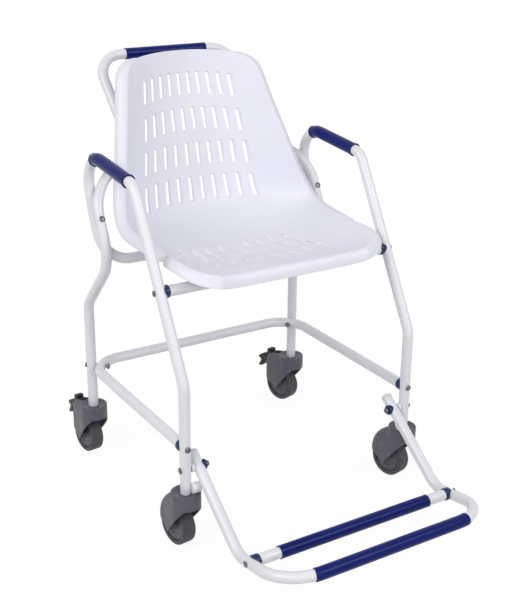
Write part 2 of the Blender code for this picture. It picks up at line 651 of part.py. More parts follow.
def build_seat():
    """The one-piece shell: a lofted skin with a turned-down flange all round, then its slots."""
    across_u = [-u for u in reversed(COLUMNS[1:])] + list(COLUMNS)
    width, count = len(across_u), len(STATIONS)
    corners = [shell_point(station, u) for station in STATIONS for u in across_u]
    faces = []
    for r in range(count - 1):
        for c in range(width - 1):
            a = r * width + c
            faces.append((a, a + width, a + width + 1, a + 1))
    top = [(c, (0.0, *TOP_LIP)) for c in range(1, width - 1)]
    right = [(r * width + width - 1, STATIONS[r][3]) for r in range(count)]
    front = [((count - 1) * width + c, (0.0, *LIP)) for c in range(width - 2, 0, -1)]
    left = [(r * width, (-STATIONS[r][3][0], *STATIONS[r][3][1:])) for r in range(count - 1, -1, -1)]
    rim = top + right + front + left
    for out, back in ((0.62, 0.34), (1.0, 1.0)):
        for index, turn in rim:
            corners.append(corners[index] + Vector(share_of(turn, out, back)))
    ring, size = [index for index, _ in rim], len(rim)
    for _ in range(2):
        start = width * count if ring[0] < width * count else width * count + size
        outer = list(range(start, start + size))
        faces += [(ring[i], ring[(i + 1) % size], outer[(i + 1) % size], outer[i]) for i in range(size)]
        ring = outer
    corners = [tuple(p) for p in corners]
    mesh = bpy.data.meshes.new("seat_shell")
    mesh.from_pydata(corners, [], faces)
    shell = add("seat_shell", mesh)
    wall = shell.modifiers.new("wall", "SOLIDIFY")
    wall.thickness = SHELL_T
    wall.offset = -1.0
    wall.use_even_offset = True

    blocks = bmesh.new()
    tubes = []
    fit = (TUBE_R + GAP) / math.cos(math.pi / 16)
    for y, z, top in CRADLES:
        foot = z - CRADLE_GRIP
        size = Matrix.Diagonal((CRADLE_LONG, CRADLE_WIDE, top - foot, 1.0))
        for _, sign in SIDES:
            middle = (sign * CRADLE_X, y, (top + foot) / 2)
            bmesh.ops.create_cube(blocks, size=1.0, matrix=Matrix.Translation(middle) @ size)
        tubes.append(((-0.12, y, z), (0.12, y, z), fit))
    mesh = bpy.data.meshes.new("seat_cradles")
    blocks.to_mesh(mesh)
    blocks.free()
    combine(shell, add("seat_cradles", mesh, ROOT, cutter=True), "UNION")
    combine(shell, rods("seat_tube_space", tubes, ROOT, 16), "DIFFERENCE")

    work = bmesh.new()
    for high, low in BACK_ROWS:
        pitch = 0.0227 + 0.0277 * (0.838 - (high + low) / 2)
        for number in range(10):
            x = (number - 4.5) * pitch
            sag = 0.013 * (x / 0.109) ** 2
            top, foot = high - sag, low - sag
            ends = [Vector((x, shell_height("back", x, z), z)) for z in (top, foot)]
            stadium(work, ends[0], ends[1], Vector((0.0, 1.0, 0.0)))
    for middle, pitch in SEAT_ROWS:
        for number in range(9):
            x = (number - 4) * pitch
            fan = 1.0 + 0.05 * (0.202 - middle) / 0.06
            near, far = middle - 0.021, middle + 0.021
            ends = [Vector((x * f, y, shell_height("seat", x * f, y)))
                    for y, f in ((far, 1.0 - 0.02 * fan), (near, 1.0 + 0.02 * fan))]
            stadium(work, ends[0], ends[1], Vector((0.0, 0.0, -1.0)))
    cutter = bpy.data.meshes.new("seat_slots")
    work.to_mesh(cutter)
    work.free()
    slots = add("seat_slots", cutter, ROOT, cutter=True)
    combine(shell, slots, "DIFFERENCE")
    dress(soften(shell, 40.0), "plastic")


def stadium(work, top, foot, through):
    """Add one slot cutter: a round-ended bar seen along its depth, through the shell."""
    along = (top - foot).normalized()
    deep = (through - along * through.dot(along)).normalized()
    side = along.cross(deep)
    radius = SLOT_W / 2
    ring = []
    for end, sign in ((top, 1), (foot, -1)):
        inner = end - along * sign * radius
        for angle in (0, 90, 180):
            turn = math.radians(angle)
            ring.append(inner + (side * math.cos(turn) + along * math.sin(turn)) * sign * radius)
    front = [work.verts.new(p - deep * 0.020) for p in ring]
    rear = [work.verts.new(p + deep * 0.020) for p in ring]
    count = len(ring)
    faces = [front, rear[::-1]]
    faces += [[front[i], rear[i], rear[(i + 1) % count], front[(i + 1) % count]] for i in range(count)]
    made = [work.faces.new(face) for face in faces]
    bmesh.ops.recalc_face_normals(work, faces=made)


SIDEWAYS = Matrix(((0, 0, 1), (1, 0, 0), (0, 1, 0))).to_euler()
WHEEL_TURN = math.pi / WHEEL_STEPS


def across_axis(item, s, z, spin=0.0):
    """Lay a turned piece along the castor's axle direction, first spun about its own axis."""
    turn = Matrix.Rotation(math.pi / 2, 3, "Y") @ Matrix.Rotation(spin, 3, "Z")
    item.rotation_euler = turn.to_euler()
    item.location = (0.0, s, z)
    return item


def hood_block(name, slices, parent):
    """A loft of level slices. Each is a circle about the stem and a smaller one behind it, joined
    by the straight lines that touch both; it closes over the dish round the stem."""
    points = []
    for height, front, rear, reach in slices:
        centre = reach - rear
        touch = math.acos((front - rear) / centre) if front > rear else math.radians(38)
        turns = [touch + (2 * math.pi - 2 * touch) * i / 8 for i in range(9)]
        points += [(front * math.sin(-a), front * math.cos(a), height) for a in turns]
        turns = [touch * (0.6 - 0.4 * i) for i in range(4)]
        points += [(rear * math.sin(a), centre + rear * math.cos(a), height) for a in [touch] + turns + [-touch]]
    size = 15
    faces = [tuple(reversed(range(size))), tuple(range(len(points) - size, len(points)))]
    for low in range(0, len(points) - size, size):
        for i in range(size):
            j = (i + 1) % size
            faces.append((low + i, low + j, low + size + j, low + size + i))
    mesh = bpy.data.meshes.new(name)
    mesh.from_pydata(points, [], faces)
    return add(name, mesh, parent)


def build_castor(name, x, y, turn, brake):
    swivel = empty(f"castor_{name}_swivel", (x, y, 0.0), ROOT, turn)
    axle_at = empty(f"castor_{name}_wheel", (0.0, TRAIL, WHEEL_R), swivel)
    hood = hood_block(f"castor_{name}_hood", HOOD_BRAKED if brake else HOOD_PLAIN, swivel)
    under = prism(f"castor_{name}_under", UNDERSIDE, 0.03, swivel, cutter=True)
    under.rotation_euler = SIDEWAYS
    combine(hood, meshed(under), "DIFFERENCE")
    wheel_space = ((-CAVITY_HALF, TRAIL, WHEEL_R), (CAVITY_HALF, TRAIL, WHEEL_R), CAVITY_R)
    cavity = rods(f"castor_{name}_cavity", [wheel_space], swivel, 18)
    combine(hood, cavity, "DIFFERENCE")
    room = [(0.0, POCKET_TOP), (POCKET_R, POCKET_TOP), (POCKET_R, 0.0250), (0.0, 0.0250)]
    combine(hood, turned(f"castor_{name}_pocket", room, 12, swivel, cutter=True), "DIFFERENCE")
    seat = [(0.0, 0.1350), (bore(FLANGE_R), 0.1350), (bore(FLANGE_R), DISH_Z - 0.0031), (bore(STEM_R), DISH_Z - 0.0031),
            (bore(STEM_R), STEM_FOOT - 0.0015), (0.0, STEM_FOOT - 0.0015)]
    combine(hood, turned(f"castor_{name}_stem_bore", seat, 8, swivel, cutter=True), "DIFFERENCE")
    axle_bore = ((-0.0193, TRAIL, WHEEL_R), (0.0193, TRAIL, WHEEL_R), bore(AXLE_R))
    combine(hood, rods(f"castor_{name}_axle_bore", [axle_bore], swivel), "DIFFERENCE")
    if brake:
        work = bmesh.new()
        size = Matrix.Diagonal((2 * BRAKE_HALF + 0.0008, 0.0600, 0.0600, 1.0))
        where = Matrix.Translation((0.0, 0.0575, 0.1085)) @ size
        bmesh.ops.create_cube(work, size=1.0, matrix=where)
        mesh = bpy.data.meshes.new(f"castor_{name}_slot")
        work.to_mesh(mesh)
        work.free()
        combine(hood, add(f"castor_{name}_slot", mesh, swivel, cutter=True), "DIFFERENCE")
        hole = ((-0.0140, BRAKE_S, BRAKE_Z), (0.0140, BRAKE_S, BRAKE_Z), bore(0.0030))
        combine(hood, rods(f"castor_{name}_brake_bore", [hole], swivel), "DIFFERENCE")
    dress(soften(hood, 35.0), "grey")

    pin = [(0.0, STEM_TOP), (STEM_R, STEM_TOP), (STEM_R, LEG_FOOT_Z - GAP), (FLANGE_R, LEG_FOOT_Z - GAP),
           (FLANGE_R, DISH_Z - 0.0028), (STEM_R, DISH_Z - 0.0028), (STEM_R, STEM_FOOT), (0.0, STEM_FOOT)]
    stem = turned(f"castor_{name}_stem", pin, 6, ROOT)
    stem.location = (x, y, 0.0)
    dress(soften(stem, 40.0), "steel")

    axle = turned(f"castor_{name}_axle", [(0.0, 0.0190), (AXLE_R, 0.0190), (AXLE_R, -0.0190), (0.0, -0.0190)],
                  8, swivel)
    across_axis(axle, TRAIL, WHEEL_R)
    dress(soften(axle, 40.0), "steel")

    outer = WHEEL_R / math.cos(WHEEL_TURN)
    hub = [(bore(AXLE_R, WHEEL_STEPS), 0.0165), (0.0080, 0.0165), (0.0095, 0.0110), (CORE_R, 0.0110),
           (CORE_R, -0.0110), (0.0095, -0.0110), (0.0080, -0.0165), (bore(AXLE_R, WHEEL_STEPS), -0.0165)]
    core = turned(f"castor_{name}_wheel_core", hub, WHEEL_STEPS, axle_at, ring=True)
    across_axis(core, 0.0, 0.0, WHEEL_TURN)
    dress(soften(core, 40.0), "grey")
    inner = CORE_R + GAP / math.cos(WHEEL_TURN)
    tread = [(inner, 0.0136), (outer - 0.0040, WHEEL_HALF), (outer, 0.0116), (outer, -0.0116),
             (outer - 0.0040, -WHEEL_HALF), (inner, -0.0136)]
    tyre = turned(f"castor_{name}_tyre", tread, WHEEL_STEPS, axle_at, ring=True)
    across_axis(tyre, 0.0, 0.0, WHEEL_TURN)
    dress(soften(tyre, 40.0), "grey")

    if brake:
        rock = empty(f"castor_{name}_brake", (0.0, BRAKE_S, BRAKE_Z), swivel)
        shape = [(-0.0050, -0.0020), (-0.0020, -0.0052), (0.0060, -0.0075), (0.0140, -0.0085),
                 (0.0200, -0.0075), (0.0260, -0.0050), (0.0470, -0.0040), (0.0510, -0.0140),
                 (0.0560, -0.0220), (0.0680, -0.0265), (0.0670, -0.0200), (0.0620, -0.0120),
                 (0.0600, -0.0070), (0.0650, -0.0040), (0.0700, -0.0005), (0.0640, 0.0060),
                 (0.0520, 0.0120), (0.0400, 0.0180), (0.0390, 0.0295), (0.0260, 0.0315),
                 (0.0250, 0.0230), (0.0120, 0.0190), (0.0020, 0.0060), (-0.0040, 0.0030)]
        pedal = prism(f"castor_{name}_brake_pedal", shape, BRAKE_HALF, rock)
        pedal.rotation_euler = SIDEWAYS
        pedal = meshed(pedal)
        trunnion = rods(f"castor_{name}_trunnion", [((-0.0137, 0, 0), (0.0137, 0, 0), 0.0030)], rock)
        combine(pedal, trunnion, "UNION")
        dress(soften(pedal, 35.0), "black")


build_frames()
cross_bar("front_seat_bar", BAR_Y, BAR_Z, SIDE_X, ROOT)
cross_bar("footrest_tread_bar", INNER_BAR_Y, INNER_BAR_Z, FOOT_X, FOOTREST)
build_joints()
build_sleeves()
build_seat()
for castor, (at_x, at_y, turn, brake) in CASTORS.items():
    build_castor(castor, at_x, at_y, turn, brake)
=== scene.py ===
"""Looks of the shower trolley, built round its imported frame.

Metres, Z up. The chair faces -Y, and "left" in a name is -X, the left seen from in front. The
drawing sizes are measured from the front legs' axis, as the part's own source has them. Every
piece is moved by -MIDDLE_Y along Y at the end, so that the world's origin lies on the floor
under the middle of the chair.
"""

import math

import bmesh
import bpy
import numpy as np
from mathutils import Matrix, Vector


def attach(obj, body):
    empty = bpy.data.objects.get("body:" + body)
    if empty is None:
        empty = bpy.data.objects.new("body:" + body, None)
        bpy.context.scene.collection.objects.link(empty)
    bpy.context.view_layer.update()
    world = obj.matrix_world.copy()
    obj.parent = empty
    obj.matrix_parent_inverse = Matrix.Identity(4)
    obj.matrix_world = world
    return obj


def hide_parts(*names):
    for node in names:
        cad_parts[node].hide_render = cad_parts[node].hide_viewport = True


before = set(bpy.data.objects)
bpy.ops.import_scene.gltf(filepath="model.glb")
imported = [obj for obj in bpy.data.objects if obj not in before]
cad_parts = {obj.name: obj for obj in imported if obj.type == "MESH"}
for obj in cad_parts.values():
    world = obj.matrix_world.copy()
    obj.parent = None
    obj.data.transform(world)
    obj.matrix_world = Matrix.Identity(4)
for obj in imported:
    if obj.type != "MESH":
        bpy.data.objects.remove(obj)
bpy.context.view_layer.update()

# Drawing sizes
MIDDLE_Y = 0.1306
GAP = 0.0003
TUBE_R = 0.0111
SIDE_X = 0.2665
LEG_FOOT_Z = 0.123
KNEE_Z, KNEE_R = 0.3482, 0.046
ARM_FRONT, ARM_FRONT_R = (0.1925, 0.6914), 0.037
ARM_REAR, ARM_REAR_R = (0.4272, 0.7142), 0.057
ARM_DROP, ARM_DROP_R = (0.3853, 0.5747), 0.08
SEAT_REAR, SEAT_REAR_R = (0.3403, 0.4928), 0.059
REAR_LEG_Y = 0.4405
PUSH_KNEE_Z, PUSH_KNEE_R = 0.3682, 0.049
PUSH_WAIST, PUSH_WAIST_R = (0.3182, 0.4963), 0.073
PUSH_SHOULDER, PUSH_SHOULDER_R = (0.3838, 0.6393), 0.104
PUSH_INNER, PUSH_INNER_R = (0.1563, 0.4241, 0.6944), 0.060
BACK_TOP_Y, HANDLE_REACH = 0.4965, 0.0755
PUSH_TOP, PUSH_TOP_R = (0.1682, BACK_TOP_Y + HANDLE_REACH, 0.8750), 0.057
LOWER_Z, LOWER_REAR_Y, LOWER_R = 0.2216, 0.4482, 0.068
BAR_Y, BAR_Z = 0.0916, 0.5070
FOOT_X, PIVOT_Z = 0.2378, 0.1745
FOOT_TOP = (0.0225, 0.1915)
FOOT_BEND, FOOT_BEND_R = (-0.1533, 0.0585), 0.056
FOOT_FRONT, FOOT_FRONT_R = (-0.3109, 0.0888), 0.080
INNER_BAR_Y, INNER_BAR_Z = -0.1950, 0.0690
STOP_R, STOP_Y, STOP_Z = 0.0105, -0.0130, 0.1371
SLEEVE_R, GRIP_R, ARM_SLEEVE_R = 0.0131, 0.01255, 0.0144
ARM_SLEEVE = (0.2120, 0.3700)
GRIP_HALF = 0.0992
FRONT_SLEEVE_HALF, REAR_SLEEVE_HALF = 0.1758, 0.1768
SADDLE_R, SADDLE_REACH = 0.0128, 0.0175
BOLT_R, HEAD_R, HEAD_H = 0.0030, 0.0062, 0.0032
SPACER_R, SPACER_SLACK = 0.0065, 0.0010
WASHER_R, WASHER_REACH, STOP_REACH = 0.0105, 0.0150, 0.0235
JOINT_DOWN = 0.0105
TUBE_STEP, BEAD = 0.030, 0.004
CRADLE_X, CRADLE_LONG, CRADLE_WIDE, CRADLE_GRIP = 0.0900, 0.0360, 0.0290, 0.0060
CRADLES = ((BAR_Y, BAR_Z, 0.5190), (*SEAT_REAR, 0.5108))
# Each castor's x and y, its turn about the stem in degrees, and whether it has a brake
CASTORS = {
    "front_left": (-SIDE_X, 0.0, 7.0, False),
    "front_right": (SIDE_X, 0.0, 11.7, False),
    "rear_left": (-SIDE_X, REAR_LEG_Y, 7.0, True),
    "rear_right": (SIDE_X, REAR_LEG_Y, 14.6, True),
}
WHEEL_R, WHEEL_HALF, TRAIL = 0.0405, 0.0150, 0.0276
CORE_R = 0.0310
CAVITY_R, CAVITY_HALF = 0.0430, 0.0172
POCKET_R, POCKET_TOP = 0.0265, 0.0940
COLLAR_R, COLLAR_TOP, COLLAR_FOOT, DISH_Z = 0.02995, 0.1260, 0.0965, 0.1225
BRAKE_S, BRAKE_Z, BRAKE_HALF = 0.0340, 0.0940, 0.0084
SHELL_T = 0.0045
# Rows of the shell from its top to its front edge: the middle line's y and z, the side crease's
# x, y and z, the power of the curve between them, and how far the side flange goes in x, y and z
STATIONS = [
    ((BACK_TOP_Y, 0.8870), (0.1090, 0.4758, 0.8795), 2.2, (0.002, 0.021, -0.002)),
    ((0.4958, 0.8800), (0.1350, 0.4587, 0.8730), 2.2, (0.010, 0.021, 0.001)),
    ((0.4940, 0.8640), (0.1530, 0.4415, 0.8560), 2.2, (0.017, 0.021, 0.002)),
    ((0.4895, 0.8340), (0.1605, 0.4300, 0.8320), 2.2, (0.019, 0.021, 0.001)),
    ((0.4770, 0.7830), (0.1715, 0.4100, 0.7830), 2.4, (0.019, 0.022, 0.000)),
    ((0.4630, 0.7350), (0.1838, 0.3892, 0.7350), 2.6, (0.019, 0.022, 0.000)),
    ((0.4520, 0.6900), (0.1950, 0.3705, 0.6900), 2.8, (0.019, 0.022, 0.000)),
    ((0.4430, 0.6450), (0.2070, 0.3520, 0.6450), 3.0, (0.020, 0.022, -0.002)),
    ((0.4335, 0.6050), (0.2165, 0.3360, 0.6120), 3.2, (0.021, 0.019, -0.006)),
    ((0.4220, 0.5640), (0.2230, 0.3190, 0.5880), 3.2, (0.021, 0.013, -0.012)),
    ((0.3900, 0.5290), (0.2265, 0.2980, 0.5745), 3.2, (0.020, 0.006, -0.017)),
    ((0.3400, 0.5095), (0.2262, 0.2740, 0.5690), 3.3, (0.020, 0.002, -0.018)),
    ((0.2850, 0.5040), (0.2245, 0.2420, 0.5655), 3.5, (0.020, 0.000, -0.018)),
    ((0.2250, 0.5057), (0.2215, 0.1980, 0.5640), 3.8, (0.020, 0.000, -0.018)),
    ((0.1700, 0.5111), (0.2200, 0.1590, 0.5617), 4.4, (0.019, 0.000, -0.018)),
    ((0.1560, 0.5127), (0.2196, 0.1470, 0.5610), 4.6, (0.0046, 0.000, -0.017)),
    ((0.1420, 0.5146), (0.2190, 0.1350, 0.5603), 4.8, (0.019, 0.000, -0.017)),
    ((0.1160, 0.5187), (0.2190, 0.1110, 0.5593), 5.5, (0.020, 0.000, -0.016)),
    ((0.0920, 0.5232), (0.2180, 0.0860, 0.5580), 6.0, (0.020, 0.000, -0.016)),
    ((0.0690, 0.5288), (0.2110, 0.0610, 0.5540), 7.0, (0.0173, -0.006, -0.019)),
    ((0.0510, 0.5335), (0.1940, 0.0430, 0.5475), 7.5, (0.010, -0.010, -0.022)),
    ((0.0380, 0.5362), (0.1700, 0.0325, 0.5420), 7.5, (0.0015, -0.0115, -0.0235)),
]
LIP, TOP_LIP = (0.0, -0.0115, -0.0235), (0.0, 0.020, -0.004)
# Rows of slots. Back: heights of their tops and feet, and the row's sag. Seat: middle y, spacing
BACK_ROWS = ((0.8395, 0.7925, 0.0089), (0.7665, 0.7195, 0.0094), (0.6925, 0.6445, 0.0046),
             (0.6195, 0.5695, 0.0033))
SEAT_ROWS = ((0.2600, 0.0315), (0.2020, 0.0344), (0.1370, 0.0355))
SLOT_W, SEAT_SLOT_HALF = 0.0066, 0.0225
BACK_COUNT, BACK_PITCH, PITCH_GAIN, PITCH_FROM, SAG_OVER = 10, 0.0227, 0.0277, 0.838, 0.109
SEAT_COUNT, FAN, FAN_GAIN, FAN_FROM, FAN_OVER = 9, 0.02, 0.05, 0.202, 0.06
# Depths below the front skin at which a slot is cut, and what each side gains in width there
SLOT_DEEP = (-0.0100, -0.0012, 0.0, 0.0007, 0.0016, 0.0027, SHELL_T - 0.0008, SHELL_T,
             SHELL_T + 0.0014, 0.0160)
SLOT_WIDE = {
    "back": (0.0049, 0.0036, 0.0026, 0.0016, 0.0008, 0.0002, 0.0002, 0.0012, 0.0020, 0.0020),
    "seat": (0.0062, 0.0046, 0.0033, 0.0018, 0.0004, -0.0010, -0.0012, -0.0008, 0.0, 0.0),
}
SIDES = (("left", -1.0), ("right", 1.0))
SHARP = 35.0

# Camera fitted to the photograph: place, heading, drop and roll in degrees, lens in millimetres
CAMERA_AT = (-1.1117, -1.7452, 1.2251)
HEADING, DROP, ROLL = -31.713, 21.218, 0.4945
LENS = 64.35
FLOOR_WHITE, WORLD_LEVEL = 0.90, 0.48
LAMP_SIZE, LAMP_AIM = 1.4, Vector((0.0, 0.0, 0.45))


def unit(v):
    v = np.asarray(v, float)
    return v / np.linalg.norm(v, axis=-1, keepdims=True)


def rounded(corners, radii, step=6.0):
    """A polyline with its inner corners rounded. Each corner is cut back by radius / tan(half),
    half being half the angle between its two runs, and an arc of that radius joins the cuts."""
    corners = np.asarray(corners, float)
    runs = [corners[:1]]
    for before, here, after, radius in zip(corners, corners[1:], corners[2:], radii):
        back, ahead = unit(before - here), unit(after - here)
        half = math.acos(np.clip(back @ ahead, -1, 1)) / 2
        if radius <= 0 or half > 1.5:
            runs.append(here[None])
            continue
        middle = (back + ahead) / np.linalg.norm(back + ahead) * radius / math.sin(half)
        first = back * radius / math.tan(half) - middle
        last = ahead * radius / math.tan(half) - middle
        turn = math.pi - 2 * half
        side = (last - first * math.cos(turn)) / math.sin(turn)
        t = np.linspace(0, turn, max(2, int(math.degrees(turn) / step) + 1))[:, None]
        runs.append(here + middle + first * np.cos(t) + side * np.sin(t))
    runs.append(corners[-1:])
    return np.vstack(runs)


def rounded_loop(corners, radius, step=20.0):
    """A closed outline with its corners rounded. The radius shrinks where two corners are so
    close that their arcs would meet."""
    corners = np.asarray(corners, float)
    padded = np.vstack([corners[-1:], corners, corners[:1]])
    runs = np.linalg.norm(np.diff(padded, axis=0), axis=1)
    back, ahead = unit(padded[:-2] - corners), unit(padded[2:] - corners)
    half = np.arccos(np.clip((back * ahead).sum(1), -1, 1)) / 2
    fits = 0.45 * np.minimum(runs[:-1], runs[1:]) * np.tan(half)
    return rounded(padded, np.minimum(radius, fits), step)[1:-1]


def mirrored(half):
    """A half path that ends on the middle plane, carried on to the other side."""
    return np.vstack([half, half[-2::-1] * (-1, 1, 1)])


def spaced(path, gap):
    """The path with extra points on its long runs, none further apart than the gap."""
    lengths = np.linalg.norm(np.diff(path, axis=0), axis=1)
    counts = np.maximum(1, np.ceil(lengths / gap).astype(int))
    at = np.concatenate([*(i + np.arange(n) / n for i, n in enumerate(counts)), [len(path) - 1.0]])
    return np.stack([np.interp(at, np.arange(len(path)), path[:, k]) for k in range(3)], 1)


def tangents(path):
    return unit(np.gradient(path, axis=0))


def surface(grid, around=True, ring=False, caps=False, sharp=SHARP):
    """A mesh from a grid of points, rows by columns. Four neighbours make a face. around joins
    the last column to the first, ring the last row to the first, and caps close the end rows on
    the means of their points. Faces look outwards where columns turn left about the row line."""
    rows, cols = grid.shape[:2]
    r = np.arange(rows if ring else rows - 1)[:, None]
    c = np.arange(cols if around else cols - 1)[None, :]
    up, on = (r + 1) % rows, (c + 1) % cols
    faces = quads(r * cols + c, r * cols + on, up * cols + on, up * cols + c)
    points = grid.reshape(-1, 3)
    if caps:
        c, last, hub = np.arange(cols), (rows - 1) * cols, rows * cols
        on = (c + 1) % cols
        faces += np.stack([on, c, np.full(cols, hub)], 1).tolist()
        faces += np.stack([last + c, last + on, np.full(cols, hub + 1)], 1).tolist()
        points = np.vstack([points, grid[0].mean(0), grid[-1].mean(0)])
    return built(points, faces, sharp)


def quads(*corners):
    """Faces of four corners, one for each place in the arrays of corner numbers."""
    return np.stack(corners, -1).reshape(-1, 4).tolist()


def built(points, faces, sharp=SHARP):
    mesh = bpy.data.meshes.new("piece")
    mesh.from_pydata(np.asarray(points, float).tolist(), [], faces)
    mesh.update()
    return shaded(mesh, sharp)


def shaded(mesh, sharp=SHARP):
    mesh.polygons.foreach_set("use_smooth", np.ones(len(mesh.polygons), bool))
    mesh.set_sharp_from_angle(angle=math.radians(sharp))
    return mesh


def swept(path, pick, centres, sizes, sides, **closing):
    """Circles centre + size (cos a N + sin a B) across a path. N turns as little as possible
    along the way and B is the tangent crossed with it; each circle has its picked point's two."""
    tangent = tangents(path)
    start = np.eye(3)[np.argmin(np.abs(tangent[0]))]
    normal = [unit(np.cross(tangent[0], np.cross(start, tangent[0])))]
    for here in tangent[1:]:
        normal.append(unit(normal[-1] - here * (normal[-1] @ here)))
    normal, other = np.array(normal)[pick], np.cross(tangent, normal)[pick]
    a = np.linspace(0, math.tau, sides, endpoint=False)
    rim = np.cos(a)[None, :, None] * normal[:, None] + np.sin(a)[None, :, None] * other[:, None]
    return surface(centres[:, None] + rim * sizes[:, None, None], **closing)


def pipe(path, radius, sides=40, lip=0.0008):
    """A round bar along a path: centre + radius (cos a N + sin a B). The radius shrinks by a
    quarter circle of the lip's size at both ends, which rounds the cut edges."""
    bend = np.radians(np.linspace(0, 90, 5))
    shrink = lip * (1 - np.sin(bend))
    back = lip * (1 - np.cos(bend))
    tangent, count = tangents(path), len(path)
    head = path[0] + tangent[0] * back[:, None]
    tail = path[-1] - tangent[-1] * back[::-1, None]
    whole = np.vstack([head, path[1:-1], tail])
    size = np.concatenate([radius - shrink, np.full(count - 2, radius), (radius - shrink)[::-1]])
    pick = np.repeat(np.arange(count), [len(bend)] + [1] * (count - 2) + [len(bend)])
    return swept(path, pick, whole, size, sides, caps=True)


def hose(path, outer, inner, sides=48, flare=0.0003):
    """A thick sleeve along a path: its section is a closed loop, outside, rounded end, bore and
    rounded end again, carried round the tube's axis. The outside swells by the flare towards
    both ends, as the square of a cosine over the length BEAD, into a soft bead."""
    tangent, count = tangents(path), len(path)
    middle, wall = (outer + inner) / 2, (outer - inner) / 2
    t = np.radians(np.linspace(-90, 90, 9))
    first = path[0] + tangent[0] * (wall - wall * np.cos(t))[:, None]
    last = path[-1] - tangent[-1] * (wall - wall * np.cos(t))[:, None]
    centres = np.vstack([first, path[1:-1], last[::-1], path[-2:0:-1]])
    gone = np.concatenate([[0], np.cumsum(np.linalg.norm(np.diff(path, axis=0), axis=1))])
    edge = np.minimum(gone, gone[-1] - gone)[1:-1]
    less = flare * (1 - np.cos(np.clip(edge / BEAD, 0, 1) * math.pi / 2) ** 2)
    sizes = np.concatenate([middle + wall * np.sin(t), outer - less,
                            middle + wall * np.sin(t[::-1]), np.full(count - 2, inner)])
    pick = np.repeat(np.arange(count), [len(t)] + [1] * (count - 2) + [len(t)])
    pick = np.concatenate([pick, np.arange(count - 2, 0, -1)])
    return swept(path, pick, centres, sizes, sides, ring=True)


def lathe(profile, place, axis, steps=48, ring=False, sharp=SHARP):
    """A profile of (radius, height), lowest first on the outer side, turned about the axis:
    place + height axis + radius (cos a U + sin a V)."""
    profile = np.asarray(profile, float)
    axis = unit(axis)
    u = unit(np.cross(axis, np.eye(3)[np.argmin(np.abs(axis))]))
    v = np.cross(axis, u)
    a = np.linspace(0, math.tau, steps, endpoint=False)
    grid = (np.asarray(place, float) + profile[:, 1, None, None] * axis
            + profile[:, 0, None, None] * (np.cos(a)[:, None] * u + np.sin(a)[:, None] * v))
    return surface(grid, ring=ring, caps=not ring, sharp=sharp)


def outward(*meshes):
    """The meshes as one, with doubles merged and all faces turned outwards."""
    work = bmesh.new()
    for mesh in meshes:
        work.from_mesh(mesh)
    bmesh.ops.remove_doubles(work, verts=work.verts, dist=1e-7)
    bmesh.ops.recalc_face_normals(work, faces=work.faces)
    work.to_mesh(meshes[0])
    work.free()
    return meshes[0]


def rod(start, end, radius, steps=48):
    """A plain round bar between two points, used to drill and hollow other pieces."""
    start, end = np.asarray(start, float), np.asarray(end, float)
    profile = [(radius, 0.0), (radius, np.linalg.norm(end - start))]
    return lathe(profile, start, end - start, steps)


def slab(outline, half, origin=(0, 0, 0)):
    """A flat outline of (y, z) points about the origin, thickened both ways along X."""
    flat = np.asarray(origin) + np.insert(np.asarray(outline, float), 0, 0.0, axis=1)
    both = np.stack([flat - (half, 0, 0), flat + (half, 0, 0)])
    count = len(outline)
    c = np.arange(count)
    on = (c + 1) % count
    faces = quads(c, on, on + count, c + count)
    faces += [c[::-1].tolist(), (c + count).tolist()]
    return outward(built(both.reshape(-1, 3), faces))


def placed(name, data):
    """A new object of the scene that holds the data."""
    item = bpy.data.objects.new(name, data)
    bpy.context.scene.collection.objects.link(item)
    return item


def joined(base, adds=(), cuts=(), bevel=0.0, thick=0.0, levels=0, angle=40.0, sharp=SHARP):
    """The base mesh after its rounding and wall, with the other meshes added and then the cuts
    taken off, and a bevel on its sharp edges."""
    item = placed("base", base)
    spare = []
    if levels:
        round_off = item.modifiers.new("round", "SUBSURF")
        round_off.levels = round_off.render_levels = levels
    if thick:
        wall = item.modifiers.new("wall", "SOLIDIFY")
        wall.thickness, wall.offset, wall.use_even_offset = thick, -1.0, True
    for how, meshes in (("UNION", adds), ("DIFFERENCE", cuts)):
        for mesh in meshes:
            spare.append(placed("tool", mesh))
            change = item.modifiers.new("change", "BOOLEAN")
            change.operation, change.solver, change.object = how, "EXACT", spare[-1]
    if bevel:
        edge = item.modifiers.new("edges", "BEVEL")
        edge.width, edge.segments, edge.limit_method = bevel, 2, "ANGLE"
        edge.angle_limit = math.radians(angle)
        edge.use_clamp_overlap = True
    bpy.context.view_layer.update()
    found = item.evaluated_get(bpy.context.evaluated_depsgraph_get())
    mesh = bpy.data.meshes.new_from_object(found)
    for each in [item] + spare:
        bpy.data.objects.remove(each)
    return shaded(mesh, sharp)


def shown(name, mesh, look, body, slot, stands_for=()):
    """The finished piece, shifted into the world's frame, with its look and body. The slot is not
    used.
    """
    mesh.transform(Matrix.Translation((0.0, -MIDDLE_Y, 0.0)))
    mesh.name = name
    mesh.materials.clear()
    mesh.materials.append(look)
    made = placed(name, mesh)
    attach(made, body)
    if stands_for:
        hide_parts(*stands_for)


def instead(node, ending, mesh, look, body, slot):
    """A piece that stands for one node and has its name, with an ending added."""
    shown(f"{node}_{ending}", mesh, look, body, slot, [node])


